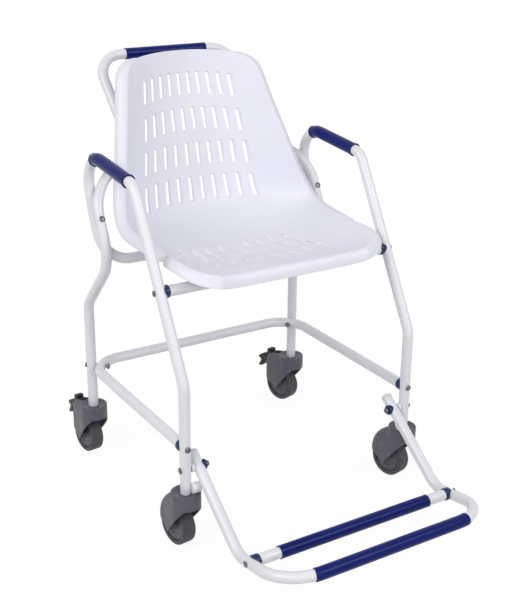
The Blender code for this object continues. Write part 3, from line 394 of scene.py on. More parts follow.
# Finishes
class Wiring:
    """Short hand for placing and joining nodes in one tree."""

    def __init__(self, tree):
        self.tree = tree

    def feed(self, node, *links):
        for name, value in links:
            if hasattr(value, "is_output"):
                self.tree.links.new(value, node.inputs[name])
            else:
                node.inputs[name].default_value = value
        return node

    def add(self, kind, *links, **settings):
        node = self.tree.nodes.new(kind)
        for key, value in settings.items():
            setattr(node, key, value)
        return self.feed(node, *links)

    def maths(self, how, a, b):
        return self.add("ShaderNodeMath", (0, a), (1, b), operation=how).outputs[0]

    def noise(self, where, scale, detail, rough=0.5):
        return self.add("ShaderNodeTexNoise", ("Vector", where), ("Scale", scale),
                        ("Detail", detail), ("Roughness", rough)).outputs["Fac"]

    def blend(self, share, a, b):
        return self.add("ShaderNodeMix", (0, share), (6, a), (7, b), data_type="RGBA").outputs[2]

    def span(self, value, low, high, to_low=0.0, to_high=1.0):
        return self.add("ShaderNodeMapRange", ("Value", value), ("From Min", low),
                        ("From Max", high), ("To Min", to_low),
                        ("To Max", to_high)).outputs["Result"]


def wired(data):
    """A new material or world and the wiring of its nodes."""
    data.use_nodes = True
    return data, Wiring(data.node_tree)


DUST = (0.42, 0.40, 0.39, 1.0)
SKIN_COLOURS = ("Colour", "Shade", "Rubbed Colour")
SKIN_NUMBERS = ("Mottle Scale", "Grain Scale", "Grain Depth", "Smooth", "Rough", "Rubbed", "Dust")


def moulded_skin():
    """Colour, roughness and relief of a moulded or painted skin: slow mottling between two
    shades, a fine grain, rare rubbed streaks, and a little dust that fades with height."""
    tree = bpy.data.node_groups.new("moulded_skin", "ShaderNodeTree")
    for way, kind, names in (
        ("INPUT", "Color", SKIN_COLOURS), ("INPUT", "Float", SKIN_NUMBERS),
        ("OUTPUT", "Color", ("Colour",)), ("OUTPUT", "Float", ("Roughness",)),
        ("OUTPUT", "Vector", ("Normal",)),
    ):
        for name in names:
            tree.interface.new_socket(name=name, in_out=way, socket_type="NodeSocket" + kind)
    w = Wiring(tree)
    given = w.add("NodeGroupInput").outputs
    where = w.add("ShaderNodeTexCoord").outputs["Object"]
    mottle = w.noise(where, given["Mottle Scale"], 4.0, 0.55)
    share = w.span(mottle, 0.35, 0.68)
    grain = w.noise(where, given["Grain Scale"], 2.0, 0.6)
    long_way = w.add("ShaderNodeMapping", ("Vector", where), ("Rotation", (0.4, 0.2, 0.5)),
                     ("Scale", (60.0, 60.0, 9.0))).outputs[0]
    streak = w.span(w.noise(long_way, 1.0, 5.0, 0.7), 0.64, 0.72)
    rubbed = w.maths("MULTIPLY", streak, given["Rubbed"])
    height = w.add("ShaderNodeSeparateXYZ", ("Vector", where)).outputs["Z"]
    low = w.span(height, 0.0, 0.16, 1.0, 0.0)
    patch = w.span(w.noise(where, 55.0, 4.0), 0.4, 0.75)
    dust = w.maths("MULTIPLY", w.maths("MULTIPLY", low, patch), given["Dust"])
    colour = w.blend(share, given["Colour"], given["Shade"])
    colour = w.blend(rubbed, colour, given["Rubbed Colour"])
    colour = w.blend(dust, colour, DUST)
    rough = w.span(share, 0.0, 1.0, given["Smooth"], given["Rough"])
    rough = w.maths("ADD", rough, w.maths("MULTIPLY", w.maths("ADD", rubbed, dust), 0.25))
    relief = w.add("ShaderNodeBump", ("Strength", 1.0), ("Distance", given["Grain Depth"]),
                   ("Height", grain)).outputs["Normal"]
    w.add("NodeGroupOutput", ("Colour", colour), ("Roughness", rough), ("Normal", relief))
    return tree


SKIN = moulded_skin()


def finish(name, colour, shade, rubbed, mottle, grain, rough, worn, dust,
           metallic=0.0, coat=0.0, level=0.5):
    """A material whose colour, roughness and relief come from the shared skin."""
    made, w = wired(bpy.data.materials.new(name))
    values = [(*tint, 1) for tint in (colour, shade, rubbed)] + [mottle, *grain, *rough, worn, dust]
    named = zip(SKIN_COLOURS + SKIN_NUMBERS, values)
    skin = w.add("ShaderNodeGroup", *named, node_tree=SKIN).outputs
    w.feed(w.tree.nodes["Principled BSDF"], ("Base Color", skin["Colour"]),
           ("Roughness", skin["Roughness"]), ("Normal", skin["Normal"]), ("Metallic", metallic),
           ("Coat Weight", coat), ("Coat Roughness", 0.12), ("Specular IOR Level", level))
    return made


WHITE_EPOXY = finish(
    "white_epoxy", (0.80, 0.80, 0.84), (0.77, 0.77, 0.815), (0.70, 0.70, 0.74),
    7.0, (420.0, 0.00010), (0.26, 0.34), 0.20, 0.10, coat=0.35)
SHELL_WHITE = finish(
    "shell_white", (0.82, 0.815, 0.90), (0.80, 0.795, 0.885), (0.76, 0.755, 0.84),
    5.0, (1300.0, 0.00006), (0.36, 0.44), 0.15, 0.0)
SLEEVE_BLUE = finish(
    "sleeve_blue", (0.0015, 0.010, 0.150), (0.001, 0.007, 0.115), (0.008, 0.018, 0.19),
    22.0, (1500.0, 0.00005), (0.13, 0.19), 0.30, 0.0, level=0.14)
SADDLE_BLUE = finish(
    "saddle_blue", (0.004, 0.026, 0.112), (0.003, 0.018, 0.078), (0.018, 0.050, 0.14),
    40.0, (1500.0, 0.00005), (0.14, 0.22), 0.30, 0.0, level=0.34)
TRIM_WHITE = finish(
    "trim_white", (0.80, 0.80, 0.84), (0.76, 0.76, 0.80), (0.68, 0.68, 0.72),
    30.0, (1200.0, 0.00008), (0.38, 0.48), 0.25, 0.10)
HOOD_GREY = finish(
    "hood_grey", (0.108, 0.103, 0.130), (0.090, 0.086, 0.110), (0.155, 0.150, 0.180),
    30.0, (1100.0, 0.00016), (0.40, 0.52), 0.30, 0.10, level=0.35)
CORE_GREY = finish(
    "core_grey", (0.082, 0.079, 0.098), (0.066, 0.064, 0.080), (0.130, 0.126, 0.150),
    40.0, (1100.0, 0.00016), (0.30, 0.42), 0.40, 0.12, level=0.45)
TYRE_GREY = finish(
    "tyre_grey", (0.064, 0.061, 0.074), (0.050, 0.048, 0.060), (0.100, 0.097, 0.112),
    55.0, (800.0, 0.00025), (0.50, 0.66), 0.45, 0.18, level=0.30)
PEDAL_BLACK = finish(
    "pedal_black", (0.010, 0.010, 0.012), (0.007, 0.007, 0.009), (0.03, 0.03, 0.034),
    50.0, (1100.0, 0.00016), (0.34, 0.46), 0.35, 0.06, level=0.25)
PLATED_STEEL = finish(
    "plated_steel", (0.17, 0.17, 0.18), (0.12, 0.12, 0.13), (0.25, 0.245, 0.25),
    90.0, (1600.0, 0.00008), (0.20, 0.34), 0.30, 0.0, metallic=1.0)

# The solids' own looks, by words in their names; stems, axles and fasteners are steel
SOLID_LOOKS = (
    (("hood", "wheel_core"), HOOD_GREY), (("tyre",), TYRE_GREY), (("pedal",), PEDAL_BLACK),
    (("sleeve", "grip"), SLEEVE_BLUE), (("saddle", "washer"), SADDLE_BLUE),
    (("seat_shell",), SHELL_WHITE),
    (("frame", "front_seat_bar", "footrest_tread_bar"), WHITE_EPOXY),
    (("stop", "plug"), TRIM_WHITE), (("",), PLATED_STEEL),
)
for node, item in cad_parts.items():
    item.data.materials.clear()
    fits = [look for words, look in SOLID_LOOKS if any(word in node for word in words)]
    item.data.materials.append(fits[0])

# Tube paths
arm_half = rounded([
    (SIDE_X, 0.0, LEG_FOOT_Z), (SIDE_X, 0.0, KNEE_Z), (SIDE_X, *ARM_FRONT), (SIDE_X, *ARM_REAR),
    (SIDE_X, *ARM_DROP), (SIDE_X, *SEAT_REAR), (0.0, *SEAT_REAR),
], (KNEE_R, ARM_FRONT_R, ARM_REAR_R, ARM_DROP_R, SEAT_REAR_R))
push_half = rounded([
    (SIDE_X, REAR_LEG_Y, LEG_FOOT_Z), (SIDE_X, REAR_LEG_Y, PUSH_KNEE_Z), (SIDE_X, *PUSH_WAIST),
    (SIDE_X, *PUSH_SHOULDER), PUSH_INNER, PUSH_TOP, (0.0, *PUSH_TOP[1:]),
], (PUSH_KNEE_R, PUSH_WAIST_R, PUSH_SHOULDER_R, PUSH_INNER_R, PUSH_TOP_R))
LOWER_START = SADDLE_REACH + GAP
lower_half = rounded([
    (SIDE_X, LOWER_START, LOWER_Z), (SIDE_X, LOWER_REAR_Y, LOWER_Z), (0.0, LOWER_REAR_Y, LOWER_Z),
], (LOWER_R,))
foot_half = rounded([
    (FOOT_X, *FOOT_TOP), (FOOT_X, *FOOT_BEND), (FOOT_X, *FOOT_FRONT), (0.0, *FOOT_FRONT),
], (FOOT_BEND_R, FOOT_FRONT_R))


def bar_path(side_x, y, z):
    """A level bar between the saddles on two side tubes."""
    end = side_x - SADDLE_REACH - GAP
    return np.array([(-end, y, z), (end, y, z)])


for node, path, body in (
    ("arm_frame", mirrored(arm_half), "chair"), ("push_frame", mirrored(push_half), "chair"),
    ("lower_frame", mirrored(lower_half), "chair"),
    ("footrest_frame", mirrored(foot_half), "footrest"),
    ("front_seat_bar", bar_path(SIDE_X, BAR_Y, BAR_Z), "chair"),
    ("footrest_tread_bar", bar_path(FOOT_X, INNER_BAR_Y, INNER_BAR_Z), "footrest"),
):
    tube = pipe(spaced(path, TUBE_STEP), TUBE_R)
    instead(node, "tube", tube, WHITE_EPOXY, body, "frame_tube")


def run_between(path, axis, low, high, gap=0.008):
    """The part of a path whose coordinate lies between two values, in even steps that are
    shorter near its ends."""
    fine = spaced(path, 0.0005)
    fine = fine[(fine[:, axis] >= low) & (fine[:, axis] <= high)]
    length = np.concatenate([[0], np.cumsum(np.linalg.norm(np.diff(fine, axis=0), axis=1))])
    ends = np.array((0.0, 0.0007, 0.0014, 0.0022, 0.0030, 0.0038, 0.0050))
    inside = np.linspace(0.0070, length[-1] - 0.0070, max(4, int(length[-1] / gap)))
    at = np.concatenate([ends, inside, length[-1] - ends[::-1]])
    return np.stack([np.interp(at, length, fine[:, k]) for k in range(3)], 1)


top_run = arm_half[(arm_half[:, 2] > 0.60) & (arm_half[:, 1] > 0.15)]
top_run = top_run[: int(np.argmax(top_run[:, 1]))]
arm_sleeve_path = run_between(top_run, 1, *ARM_SLEEVE)
BORE = TUBE_R + 0.0001
for side, sign in SIDES:
    skin = hose(arm_sleeve_path * (sign, 1, 1), ARM_SLEEVE_R, BORE, flare=0.0009)
    instead(f"arm_sleeve_{side}", "skin", skin, SLEEVE_BLUE, "chair", "sleeve")
push_path, foot_path = mirrored(push_half), mirrored(foot_half)
high_run = push_path[push_path[:, 2] > 0.80]
tread_path = np.array([(-0.2, INNER_BAR_Y, INNER_BAR_Z), (0.2, INNER_BAR_Y, INNER_BAR_Z)])
for node, path, half, radius, body in (
    ("push_grip", high_run, GRIP_HALF, GRIP_R, "chair"),
    ("footrest_front_sleeve", foot_path, FRONT_SLEEVE_HALF, SLEEVE_R, "footrest"),
    ("footrest_rear_sleeve", tread_path, REAR_SLEEVE_HALF, SLEEVE_R, "footrest"),
):
    skin = hose(run_between(path, 0, -half, half), radius, BORE)
    instead(node, "skin", skin, SLEEVE_BLUE, body, "sleeve")


def curve_through(rows, count):
    """Catmull-Rom curve through rows of numbers, count steps to each span."""
    rows = np.asarray(rows, float)
    padded = np.vstack([2 * rows[0] - rows[1], rows, 2 * rows[-1] - rows[-2]])
    t = np.arange(count)[:, None] / count
    a, b, c, d = (padded[i:len(padded) - 3 + i, None] for i in range(4))
    fine = 0.5 * (2 * b + (c - a) * t + (2 * a - 5 * b + 4 * c - d) * t**2
                  + (3 * b - a - 3 * c + d) * t**3)
    return np.vstack([fine.reshape(-1, rows.shape[1]), rows[-1:]])


FLAT_STATIONS = np.array([[*c, *r, p, *f] for c, r, p, f in STATIONS])
FINE_STATIONS = curve_through(FLAT_STATIONS, 2)
LONG_STATIONS = curve_through(FLAT_STATIONS, 12)


def shell_sides(stations, u):
    """y and z of shell points at u times the half width, one column of rows for each u. They go
    from the middle line to the side crease by the share |u| to the row's power."""
    share = np.abs(u) ** stations[:, 5]
    return [stations[:, k] + (stations[:, k + 3] - stations[:, k]) * share for k in (0, 1)]


def shell_depth(kind, x, value):
    """The front skin at given x: y for a height on the back, z for a y on the seat. Each point's
    own column of the shell is searched for the two rows that its value lies between."""
    y, z = shell_sides(LONG_STATIONS, np.clip(np.abs(x)[:, None] / LONG_STATIONS[:, 2], 0, 1))
    known, wanted = (z, y) if kind == "back" else (y, z)
    row = np.clip((known > value[:, None]).sum(1), 1, known.shape[1] - 1)
    pick = np.arange(len(x))
    high, low = known[pick, row - 1], known[pick, row]
    part = np.clip((high - value) / (high - low + 1e-12), 0, 1)
    return wanted[pick, row - 1] + (wanted[pick, row] - wanted[pick, row - 1]) * part


def shell_cage():
    """The shell's skin: the rows of the loft, and five loops of flange round them. A loop lies
    sin(a) of the way out and 1 - cos(a) of the way down its flange; the last turns in a little."""
    half = np.array((0.0, 0.12, 0.24, 0.35, 0.46, 0.56, 0.65, 0.735, 0.81, 0.875, 0.93, 0.970, 1.0))
    u = np.concatenate([-half[:0:-1], half])[:, None]
    grid = np.stack([FINE_STATIONS[:, 2] * u, *shell_sides(FINE_STATIONS, u)], -1).swapaxes(0, 1)
    rows, cols = grid.shape[:2]
    turn = FINE_STATIONS[:, 6:9]
    index = np.arange(rows * cols).reshape(rows, cols)
    ring = np.concatenate([index[0, 1:-1], index[:, -1], index[-1, -2:0:-1], index[::-1, 0]])
    flange = np.vstack([np.tile(TOP_LIP, (cols - 2, 1)), turn, np.tile(LIP, (cols - 2, 1)),
                        turn[::-1] * (-1, 1, 1)])
    points = grid.reshape(-1, 3)
    start = points[ring]
    side = np.clip(np.abs(flange[:, :1]) / 0.012, 0, 1)
    front = (flange[:, 2:3] < -0.01) * (1 - side)
    r, c = np.arange(rows - 1)[:, None], np.arange(cols - 1)[None, :]
    a = r * cols + c
    faces = quads(a, a + cols, a + cols + 1, a + 1)
    inner = ring
    bend = np.radians((28.0, 52.0, 74.0, 90.0))
    for out, down in [*zip(np.sin(bend), 1 - np.cos(bend)), (0.965, 1.02)]:
        share = np.hstack([np.full_like(side, out), down + (out - down) * front,
                           down + (out - down) * (1 - side) * (1 - front)])
        points = np.vstack([points, start + flange * share])
        outer = np.arange(len(points) - len(ring), len(points))
        faces += quads(inner, np.roll(inner, -1), np.roll(outer, -1), outer)
        inner = outer
    return built(points, faces)


def slot_cutter(kind, x, first, last):
    """One slot: a stadium outline laid on the skin and carried through the wall. It widens in a
    soft curve towards the front skin, and a little towards the rear one."""
    t = np.radians(np.linspace(0, 180, 7))
    run = np.linspace(0, 1, 5)[1:-1]
    r = SLOT_W / 2
    a, b = np.array([x[0], first]), np.array([x[1], last])
    along = unit(b - a)
    side = np.array([-along[1], along[0]])
    start, end = a + along * r, b - along * r
    arc = np.sin(t)[:, None] * along - np.cos(t)[:, None] * side
    arc_a, arc_b = start - arc * r, end + arc * r
    line_b = arc_a[-1] + (arc_b[0] - arc_a[-1]) * run[:, None]
    line_a = arc_b[-1] + (arc_a[0] - arc_b[-1]) * run[:, None]
    ring = np.vstack([arc_a, line_b, arc_b, line_a])
    centre = a + along * np.clip((ring - a) @ along, r, np.linalg.norm(b - a) - r)[:, None]
    away = (ring - centre) / r
    rings = []
    skin = shell_depth(kind, ring[:, 0], ring[:, 1])
    for d, extra in zip(SLOT_DEEP, SLOT_WIDE[kind]):
        spot = ring + away * extra
        if kind == "back":
            rings.append(np.stack([spot[:, 0], skin + d, spot[:, 1] - d * 0.28], 1))
        else:
            rings.append(np.stack([spot[:, 0], spot[:, 1], skin - d], 1))
    return surface(np.array(rings), caps=True)


def seat():
    """The whole shell: cage, wall, cradles over the two tubes under it, and its slots."""
    cutters = []
    for high, low, curve in BACK_ROWS:
        pitches = [BACK_PITCH + PITCH_GAIN * (PITCH_FROM - z) for z in (high, low)]
        for step in np.arange(BACK_COUNT) - (BACK_COUNT - 1) / 2:
            sag = curve * (step * sum(pitches) / 2 / SAG_OVER) ** 2
            ends = (step * pitches[0], step * pitches[1])
            cutters.append(slot_cutter("back", ends, high - sag, low - sag))
    for middle, pitch in SEAT_ROWS:
        fan = 1.0 + FAN_GAIN * (FAN_FROM - middle) / FAN_OVER
        for x in (np.arange(SEAT_COUNT) - SEAT_COUNT // 2) * pitch:
            ends = (x * (1.0 - FAN * fan), x * (1.0 + FAN * fan))
            first, last = middle + SEAT_SLOT_HALF, middle - SEAT_SLOT_HALF
            cutters.append(slot_cutter("seat", ends, first, last))
    blocks, spaces = [], []
    for y, z, top in CRADLES:
        foot = z - CRADLE_GRIP
        deep, high = CRADLE_WIDE / 2, (top - foot) / 2
        corners = ((-deep, -high), (deep, -high), (deep, high), (-deep, high))
        for _, sign in SIDES:
            blocks.append(slab(rounded_loop(corners, 0.0030), CRADLE_LONG / 2,
                               (sign * CRADLE_X, y, foot + high)))
        spaces.append(rod((-0.12, y, z), (0.12, y, z), TUBE_R + GAP))
    return joined(shell_cage(), blocks, [*spaces, outward(*cutters)], thick=SHELL_T,
                  levels=2, sharp=30.0)


instead("seat_shell", "skin", seat(), SHELL_WHITE, "chair", "seat_shell")


# Saddles, screws, bolts and other small fittings
def dome(radius, height, foot, count=9):
    """Profile of a screw's round head: a low straight rim, then a quarter of an ellipse."""
    t = np.radians(np.linspace(0, 88, count))
    arc = np.stack([radius * np.cos(t), foot + 0.30 * height + 0.70 * height * np.sin(t)], 1)
    return np.vstack([[(radius * 0.97, foot), (radius, foot + 0.0003)], arc])


def round_edge(radius, height, size, count=6):
    """Profile of a turned piece's edge: a quarter circle of that size from its side to its end."""
    t = np.radians(np.linspace(0, 90, count))
    return np.stack([radius - size + size * np.cos(t), height - size + size * np.sin(t)], 1)


def saddle_block(centre, way, tube_z, tube_axis, radius, reach):
    """A round block, hollowed on one side to fit the tube and drilled for its screw. The tube's
    axis passes the block's centre at the height given."""
    tube_point = np.array((centre[0], centre[1], tube_z))
    lean = unit(tube_axis) * 0.04
    edge = round_edge(radius, reach, 0.0016)
    profile = np.vstack([[(radius, 0.005)], edge, [(BOLT_R + 0.0018, reach)]])
    block = lathe(profile, centre, way, 56)
    hollow = rod(tube_point - lean, tube_point + lean, TUBE_R + GAP, 64)
    drill = rod(centre, centre + way * 0.05, BOLT_R + GAP, 24)
    return joined(block, cuts=[hollow, drill], bevel=0.0003, angle=50.0)


def bolt(name, side, place, axis, rest, foot, height=HEAD_H):
    """A dome-headed bolt of the chair: its head, then the rest of its (radius, height) profile."""
    profile = np.vstack([dome(HEAD_R, height, foot)[::-1], rest])
    steel = lathe(profile[::-1], place, axis, 40)
    instead(f"{name}_{side}", "steel", steel, PLATED_STEEL, "chair", "fastener")


def low_nut(top):
    """Profile of a low round nut that hangs from the height given."""
    return [(0.0055, top - GAP), (0.0058, top - 0.0006), (0.0058, top - 0.0046),
            (0.0050, top - 0.0056), (0.0020, top - 0.0062)]


def screw(node, place, way, length, body, height=HEAD_H):
    """A dome-headed screw: the head stands outside the surface, the shank runs along the way."""
    shank = [(BOLT_R * 0.8, -length), (BOLT_R, -length + 0.0006), (BOLT_R, GAP)]
    profile = np.vstack([shank, dome(HEAD_R, height, GAP)])
    steel = lathe(profile, place, -way, 40)
    instead(node, "steel", steel, PLATED_STEEL, body, "fastener")


def straight(start, end, at_y=0.0):
    """Direction of a tube's straight run between two (y, z) points, and its height at a y."""
    run, rise = end[0] - start[0], end[1] - start[1]
    return unit((0.0, run, rise)), start[1] + rise * (at_y - start[0]) / run


front_slope, bar_tube_z = straight((0.0, KNEE_Z), ARM_FRONT, BAR_Y)
tread_slope, tread_tube_z = straight(FOOT_BEND, FOOT_FRONT, INNER_BAR_Y)
foot_slope, drop_slope = straight(FOOT_TOP, FOOT_BEND)[0], straight(SEAT_REAR, ARM_DROP)[0]
joint_rear = np.array((SIDE_X, *ARM_DROP)) - drop_slope * JOINT_DOWN
joint_way = np.array((0.0, -drop_slope[2], drop_slope[1]))
fine_push = spaced(push_half, 0.001)
off_line = np.linalg.norm(np.cross(fine_push - joint_rear, joint_way), axis=1)
joint_front = fine_push[np.argmin(off_line)]
joint_mid = (joint_rear + joint_front) / 2
joint_half = np.linalg.norm(joint_front - joint_rear) / 2
corner = np.array((SIDE_X - LOWER_R, LOWER_REAR_Y - LOWER_R, LOWER_Z))
leg_here = np.array((SIDE_X, REAR_LEG_Y, LOWER_Z))
corner_reach = np.linalg.norm(leg_here - corner)
corner_out = (leg_here - corner) / corner_reach
screw_length = TUBE_R + SADDLE_REACH + 0.008
BACK = np.array((0.0, 1.0, 0.0))
SCREW_HEADS = {"left": 0.0022, "right": 0.0011}

for side, sign in SIDES:
    inward, mirror = np.array((-sign, 0.0, 0.0)), np.array((sign, 1.0, 1.0))
    low = mirror * (SIDE_X, 0.0, LOWER_Z)
    bar = mirror * (SIDE_X, BAR_Y, BAR_Z)
    tread = mirror * (FOOT_X, INNER_BAR_Y, INNER_BAR_Z)
    hinge = mirror * (FOOT_X, 0.0, PIVOT_Z)
    saddle, washer = (SADDLE_R, SADDLE_REACH), (WASHER_R, WASHER_REACH)
    for name, centre, way, tube_z, axis, size, body in (
        ("lower_saddle", low, BACK, LOWER_Z, (0, 0, 1), saddle, "chair"),
        ("seat_bar_saddle", bar, inward, bar_tube_z, front_slope, saddle, "chair"),
        ("tread_bar_saddle", tread, inward, tread_tube_z, tread_slope, saddle, "footrest"),
        ("pivot_washer", hinge, inward, PIVOT_Z, foot_slope, washer, "footrest"),
    ):
        block = saddle_block(centre, way, tube_z, axis, *size)
        instead(f"{name}_{side}", "block", block, SADDLE_BLUE, body, "saddle")
    screw(f"lower_screw_{side}", low - BACK * TUBE_R, BACK, screw_length, "chair")
    screw(f"seat_bar_screw_{side}", bar - inward * TUBE_R, inward, screw_length, "chair")
    screw(f"tread_bar_screw_{side}", tread - inward * TUBE_R, inward, screw_length, "footrest",
          SCREW_HEADS[side])

    outer = mirror * (SIDE_X, 0.0, PIVOT_Z)
    inner = SIDE_X - FOOT_X
    far = -inner - WASHER_REACH - GAP
    nut = [(BOLT_R, TUBE_R + GAP), (BOLT_R, far), (0.0060, far), (0.0062, far - 0.0004),
           (0.0062, far - 0.0036), (0.0056, far - 0.0048), (0.0040, far - 0.0066),
           (0.0020, far - 0.0073), (0.0006, far - 0.0075)]
    bolt("pivot_bolt", side, outer, -inward, nut, TUBE_R + GAP)
    bore = BOLT_R + 0.0002
    spacer = [(bore, -TUBE_R - GAP), (0.0082, -TUBE_R - GAP), (0.0085, -TUBE_R - 0.0006),
              (0.0085, -inner + TUBE_R + 0.0006), (0.0082, -inner + TUBE_R + GAP),
              (bore, -inner + TUBE_R + GAP)]
    ring = lathe(spacer[::-1], outer, -inward, 48, ring=True)
    shown(f"pivot_spacer_{side}", ring, TRIM_WHITE, "chair", "white_trim")

    reach = joint_half + TUBE_R
    gap = joint_half - TUBE_R - SPACER_SLACK
    rest = [(BOLT_R, reach + SPACER_SLACK), (BOLT_R, gap), (SPACER_R - 0.0004, gap),
            (SPACER_R, gap - 0.0004), (SPACER_R, -gap + 0.0004), (SPACER_R - 0.0004, -gap),
            (BOLT_R, -gap), (BOLT_R, -reach - GAP), *low_nut(-reach)]
    bolt("arm_joint_bolt", side, joint_mid * mirror, joint_way, rest, reach + SPACER_SLACK,
         HEAD_H - SPACER_SLACK)

    far, near = corner_reach + TUBE_R, LOWER_R - TUBE_R - 0.0020
    rest = [(BOLT_R, far + GAP), (BOLT_R, near - GAP), *low_nut(near)]
    bolt("rear_corner_bolt", side, corner * mirror, corner_out * mirror, rest, far + GAP)

    stop = mirror * (SIDE_X, STOP_Y, STOP_Z)
    edge = round_edge(STOP_R, STOP_REACH, 0.0020)
    peg = lathe(np.vstack([[(STOP_R, 0.0065)], edge]), stop, inward, 56)
    leg = rod(mirror * (SIDE_X, 0.0, STOP_Z - 0.03), mirror * (SIDE_X, 0.0, STOP_Z + 0.03),
              TUBE_R + GAP, 64)
    peg = joined(peg, cuts=[leg], bevel=0.0003, angle=50.0)
    instead(f"footrest_stop_{side}", "peg", peg, TRIM_WHITE, "chair", "white_trim")

    t = np.radians(np.linspace(0, 86, 12))
    cap = np.stack([TUBE_R * np.cos(t) ** 0.6, 0.0006 + 0.0064 * np.sin(t)], 1)
    cap = np.vstack([[(TUBE_R - 0.0003, GAP)], cap])
    plug = lathe(cap, mirror * (FOOT_X, *FOOT_TOP), -foot_slope, 48)
    instead(f"footrest_plug_{side}", "cap", plug, TRIM_WHITE, "footrest", "white_trim")


# Castors, drawn about the stem with X across, Y behind it and Z up

# Level slices of a hood: height, front radius, rear radius and reach behind the stem
HOOD_RIM = [(z, r, r, r) for z, r in (
    (COLLAR_TOP - 0.0014, COLLAR_R), (COLLAR_TOP - 0.0004, COLLAR_R - 0.0004), (COLLAR_TOP, 0.0288),
    (COLLAR_TOP, 0.0262), (COLLAR_TOP - 0.0008, 0.0240), (DISH_Z, 0.0125),
)]
HOOD_PLAIN = [(z, COLLAR_R, rear, reach) for z, rear, reach in (
    (0.0300, 0.0205, 0.0755), (0.0600, 0.0205, 0.0755), (0.0750, 0.0202, 0.0718),
    (0.0880, 0.0192, 0.0645), (0.0990, 0.0175, 0.0540), (0.1075, 0.0160, 0.0420),
    (0.1118, 0.0150, 0.0325),
)]
HOOD_BRAKED = [(z, COLLAR_R, rear, reach) for z, rear, reach in (
    (0.0300, 0.0205, 0.0755), (0.0880, 0.0205, 0.0755), (0.1010, 0.0200, 0.0740),
    (0.1110, 0.0188, 0.0690), (0.1180, 0.0170, 0.0580), (0.1212, 0.0150, 0.0400),
)]
UNDERSIDE = (
    (-0.0400, COLLAR_FOOT), (-0.0225, COLLAR_FOOT), (0.0235, 0.0392), (0.0262, 0.0340),
    (0.0300, 0.0320), (0.0360, 0.0345), (0.0530, 0.0430), (0.0750, 0.0525), (0.0900, 0.0600),
    (0.0900, 0.0200), (-0.0400, 0.0200),
)
UNDERSIDE_R = (0.006, 0.010, 0.003, 0.004, 0.004, 0.020, 0.030, 0.020, 0.0)
PEDAL_SPACE = ((0.0275, 0.0785), (0.0875, 0.0785), (0.0875, 0.1385), (0.0275, 0.1385))
PIN_HALF, PIN_R, PIN_SPACE_HALF, PIN_SPACE_R = 0.0137, 0.0030, 0.0140, 0.0033
DISH = ((0.0058, 0.0985), (0.0058, 0.1194), (0.0092, 0.1194), (0.0092, 0.1350))
PEDAL = (
    (-0.0050, -0.0020), (-0.0020, -0.0052), (0.0060, -0.0075), (0.0140, -0.0085),
    (0.0200, -0.0075), (0.0260, -0.0050), (0.0470, -0.0040), (0.0510, -0.0140),
    (0.0560, -0.0220), (0.0680, -0.0265), (0.0670, -0.0200), (0.0620, -0.0120),
    (0.0600, -0.0070), (0.0650, -0.0040), (0.0700, -0.0005), (0.0640, 0.0060),
    (0.0520, 0.0120), (0.0400, 0.0180), (0.0390, 0.0295), (0.0260, 0.0315),
    (0.0250, 0.0230), (0.0120, 0.0190), (0.0020, 0.0060), (-0.0040, 0.0030),
)


def hood_skin(rows, columns=112):
    """A hood's outer skin from level slices of (height, front radius, rear radius, reach). Seen
    from the stem, a slice's edge is the front circle, then the straight line that touches both
    circles, front / cos(a - touch), then the rear circle, c cos a + sqrt(r^2 - c^2 sin^2 a)."""
    height, front, rear, reach = np.asarray(rows, float).T[:, :, None]
    turn = np.linspace(0, math.tau, columns, endpoint=False)
    angle = (turn - 0.55 * np.sin(turn))[None, :]
    a = np.minimum(angle, math.tau - angle)
    c = reach - rear
    apart = np.where(c > 1e-6, c, 1.0)
    touch = np.where(c > 1e-6, np.arccos(np.clip((front - rear) / apart, -1, 1)), 0.0)
    last = np.arctan2(rear * np.sin(touch), c + rear * np.cos(touch))
    line = front / np.cos(np.minimum(np.abs(a - touch), 1.5))
    back = c * np.cos(a) + np.sqrt(np.maximum(rear**2 - (c * np.sin(a)) ** 2, 0.0))
    size = np.where((a >= touch) | (c <= 1e-6), front, np.where(a > last, line, back))
    grid = np.stack([-size * np.sin(angle), size * np.cos(angle), height + 0 * angle], -1)
    return surface(grid, caps=True)


def cross_pin(half, radius):
    return rod((-half, BRAKE_S, BRAKE_Z), (half, BRAKE_S, BRAKE_Z), radius, 24)


def hood(braked):
    """Outer skin, less the open underside, the wheel's space, the pocket and the dish round the
    stem, the axle's hole, and the space of a brake pedal and its cross pin."""
    slices = HOOD_BRAKED if braked else HOOD_PLAIN
    rows = np.vstack([slices[:1], curve_through(slices[1:], 4), HOOD_RIM])
    under = rounded(UNDERSIDE, UNDERSIDE_R, 8.0)
    middle = (TRAIL, WHEEL_R)
    cuts = [
        slab(under, 0.04),
        rod((-CAVITY_HALF, *middle), (CAVITY_HALF, *middle), CAVITY_R, 72),
        rod((0, 0, 0.0250), (0, 0, POCKET_TOP), POCKET_R, 56),
        lathe(DISH, (0, 0, 0), (0, 0, 1), 40),
        rod((-0.0193, *middle), (0.0193, *middle), 0.0028, 24),
    ]
    if braked:
        cuts.append(slab(PEDAL_SPACE, BRAKE_HALF + 0.0004))
        cuts.append(cross_pin(PIN_SPACE_HALF, PIN_SPACE_R))
    return joined(hood_skin(rows), cuts=cuts, bevel=0.0007, angle=38.0)


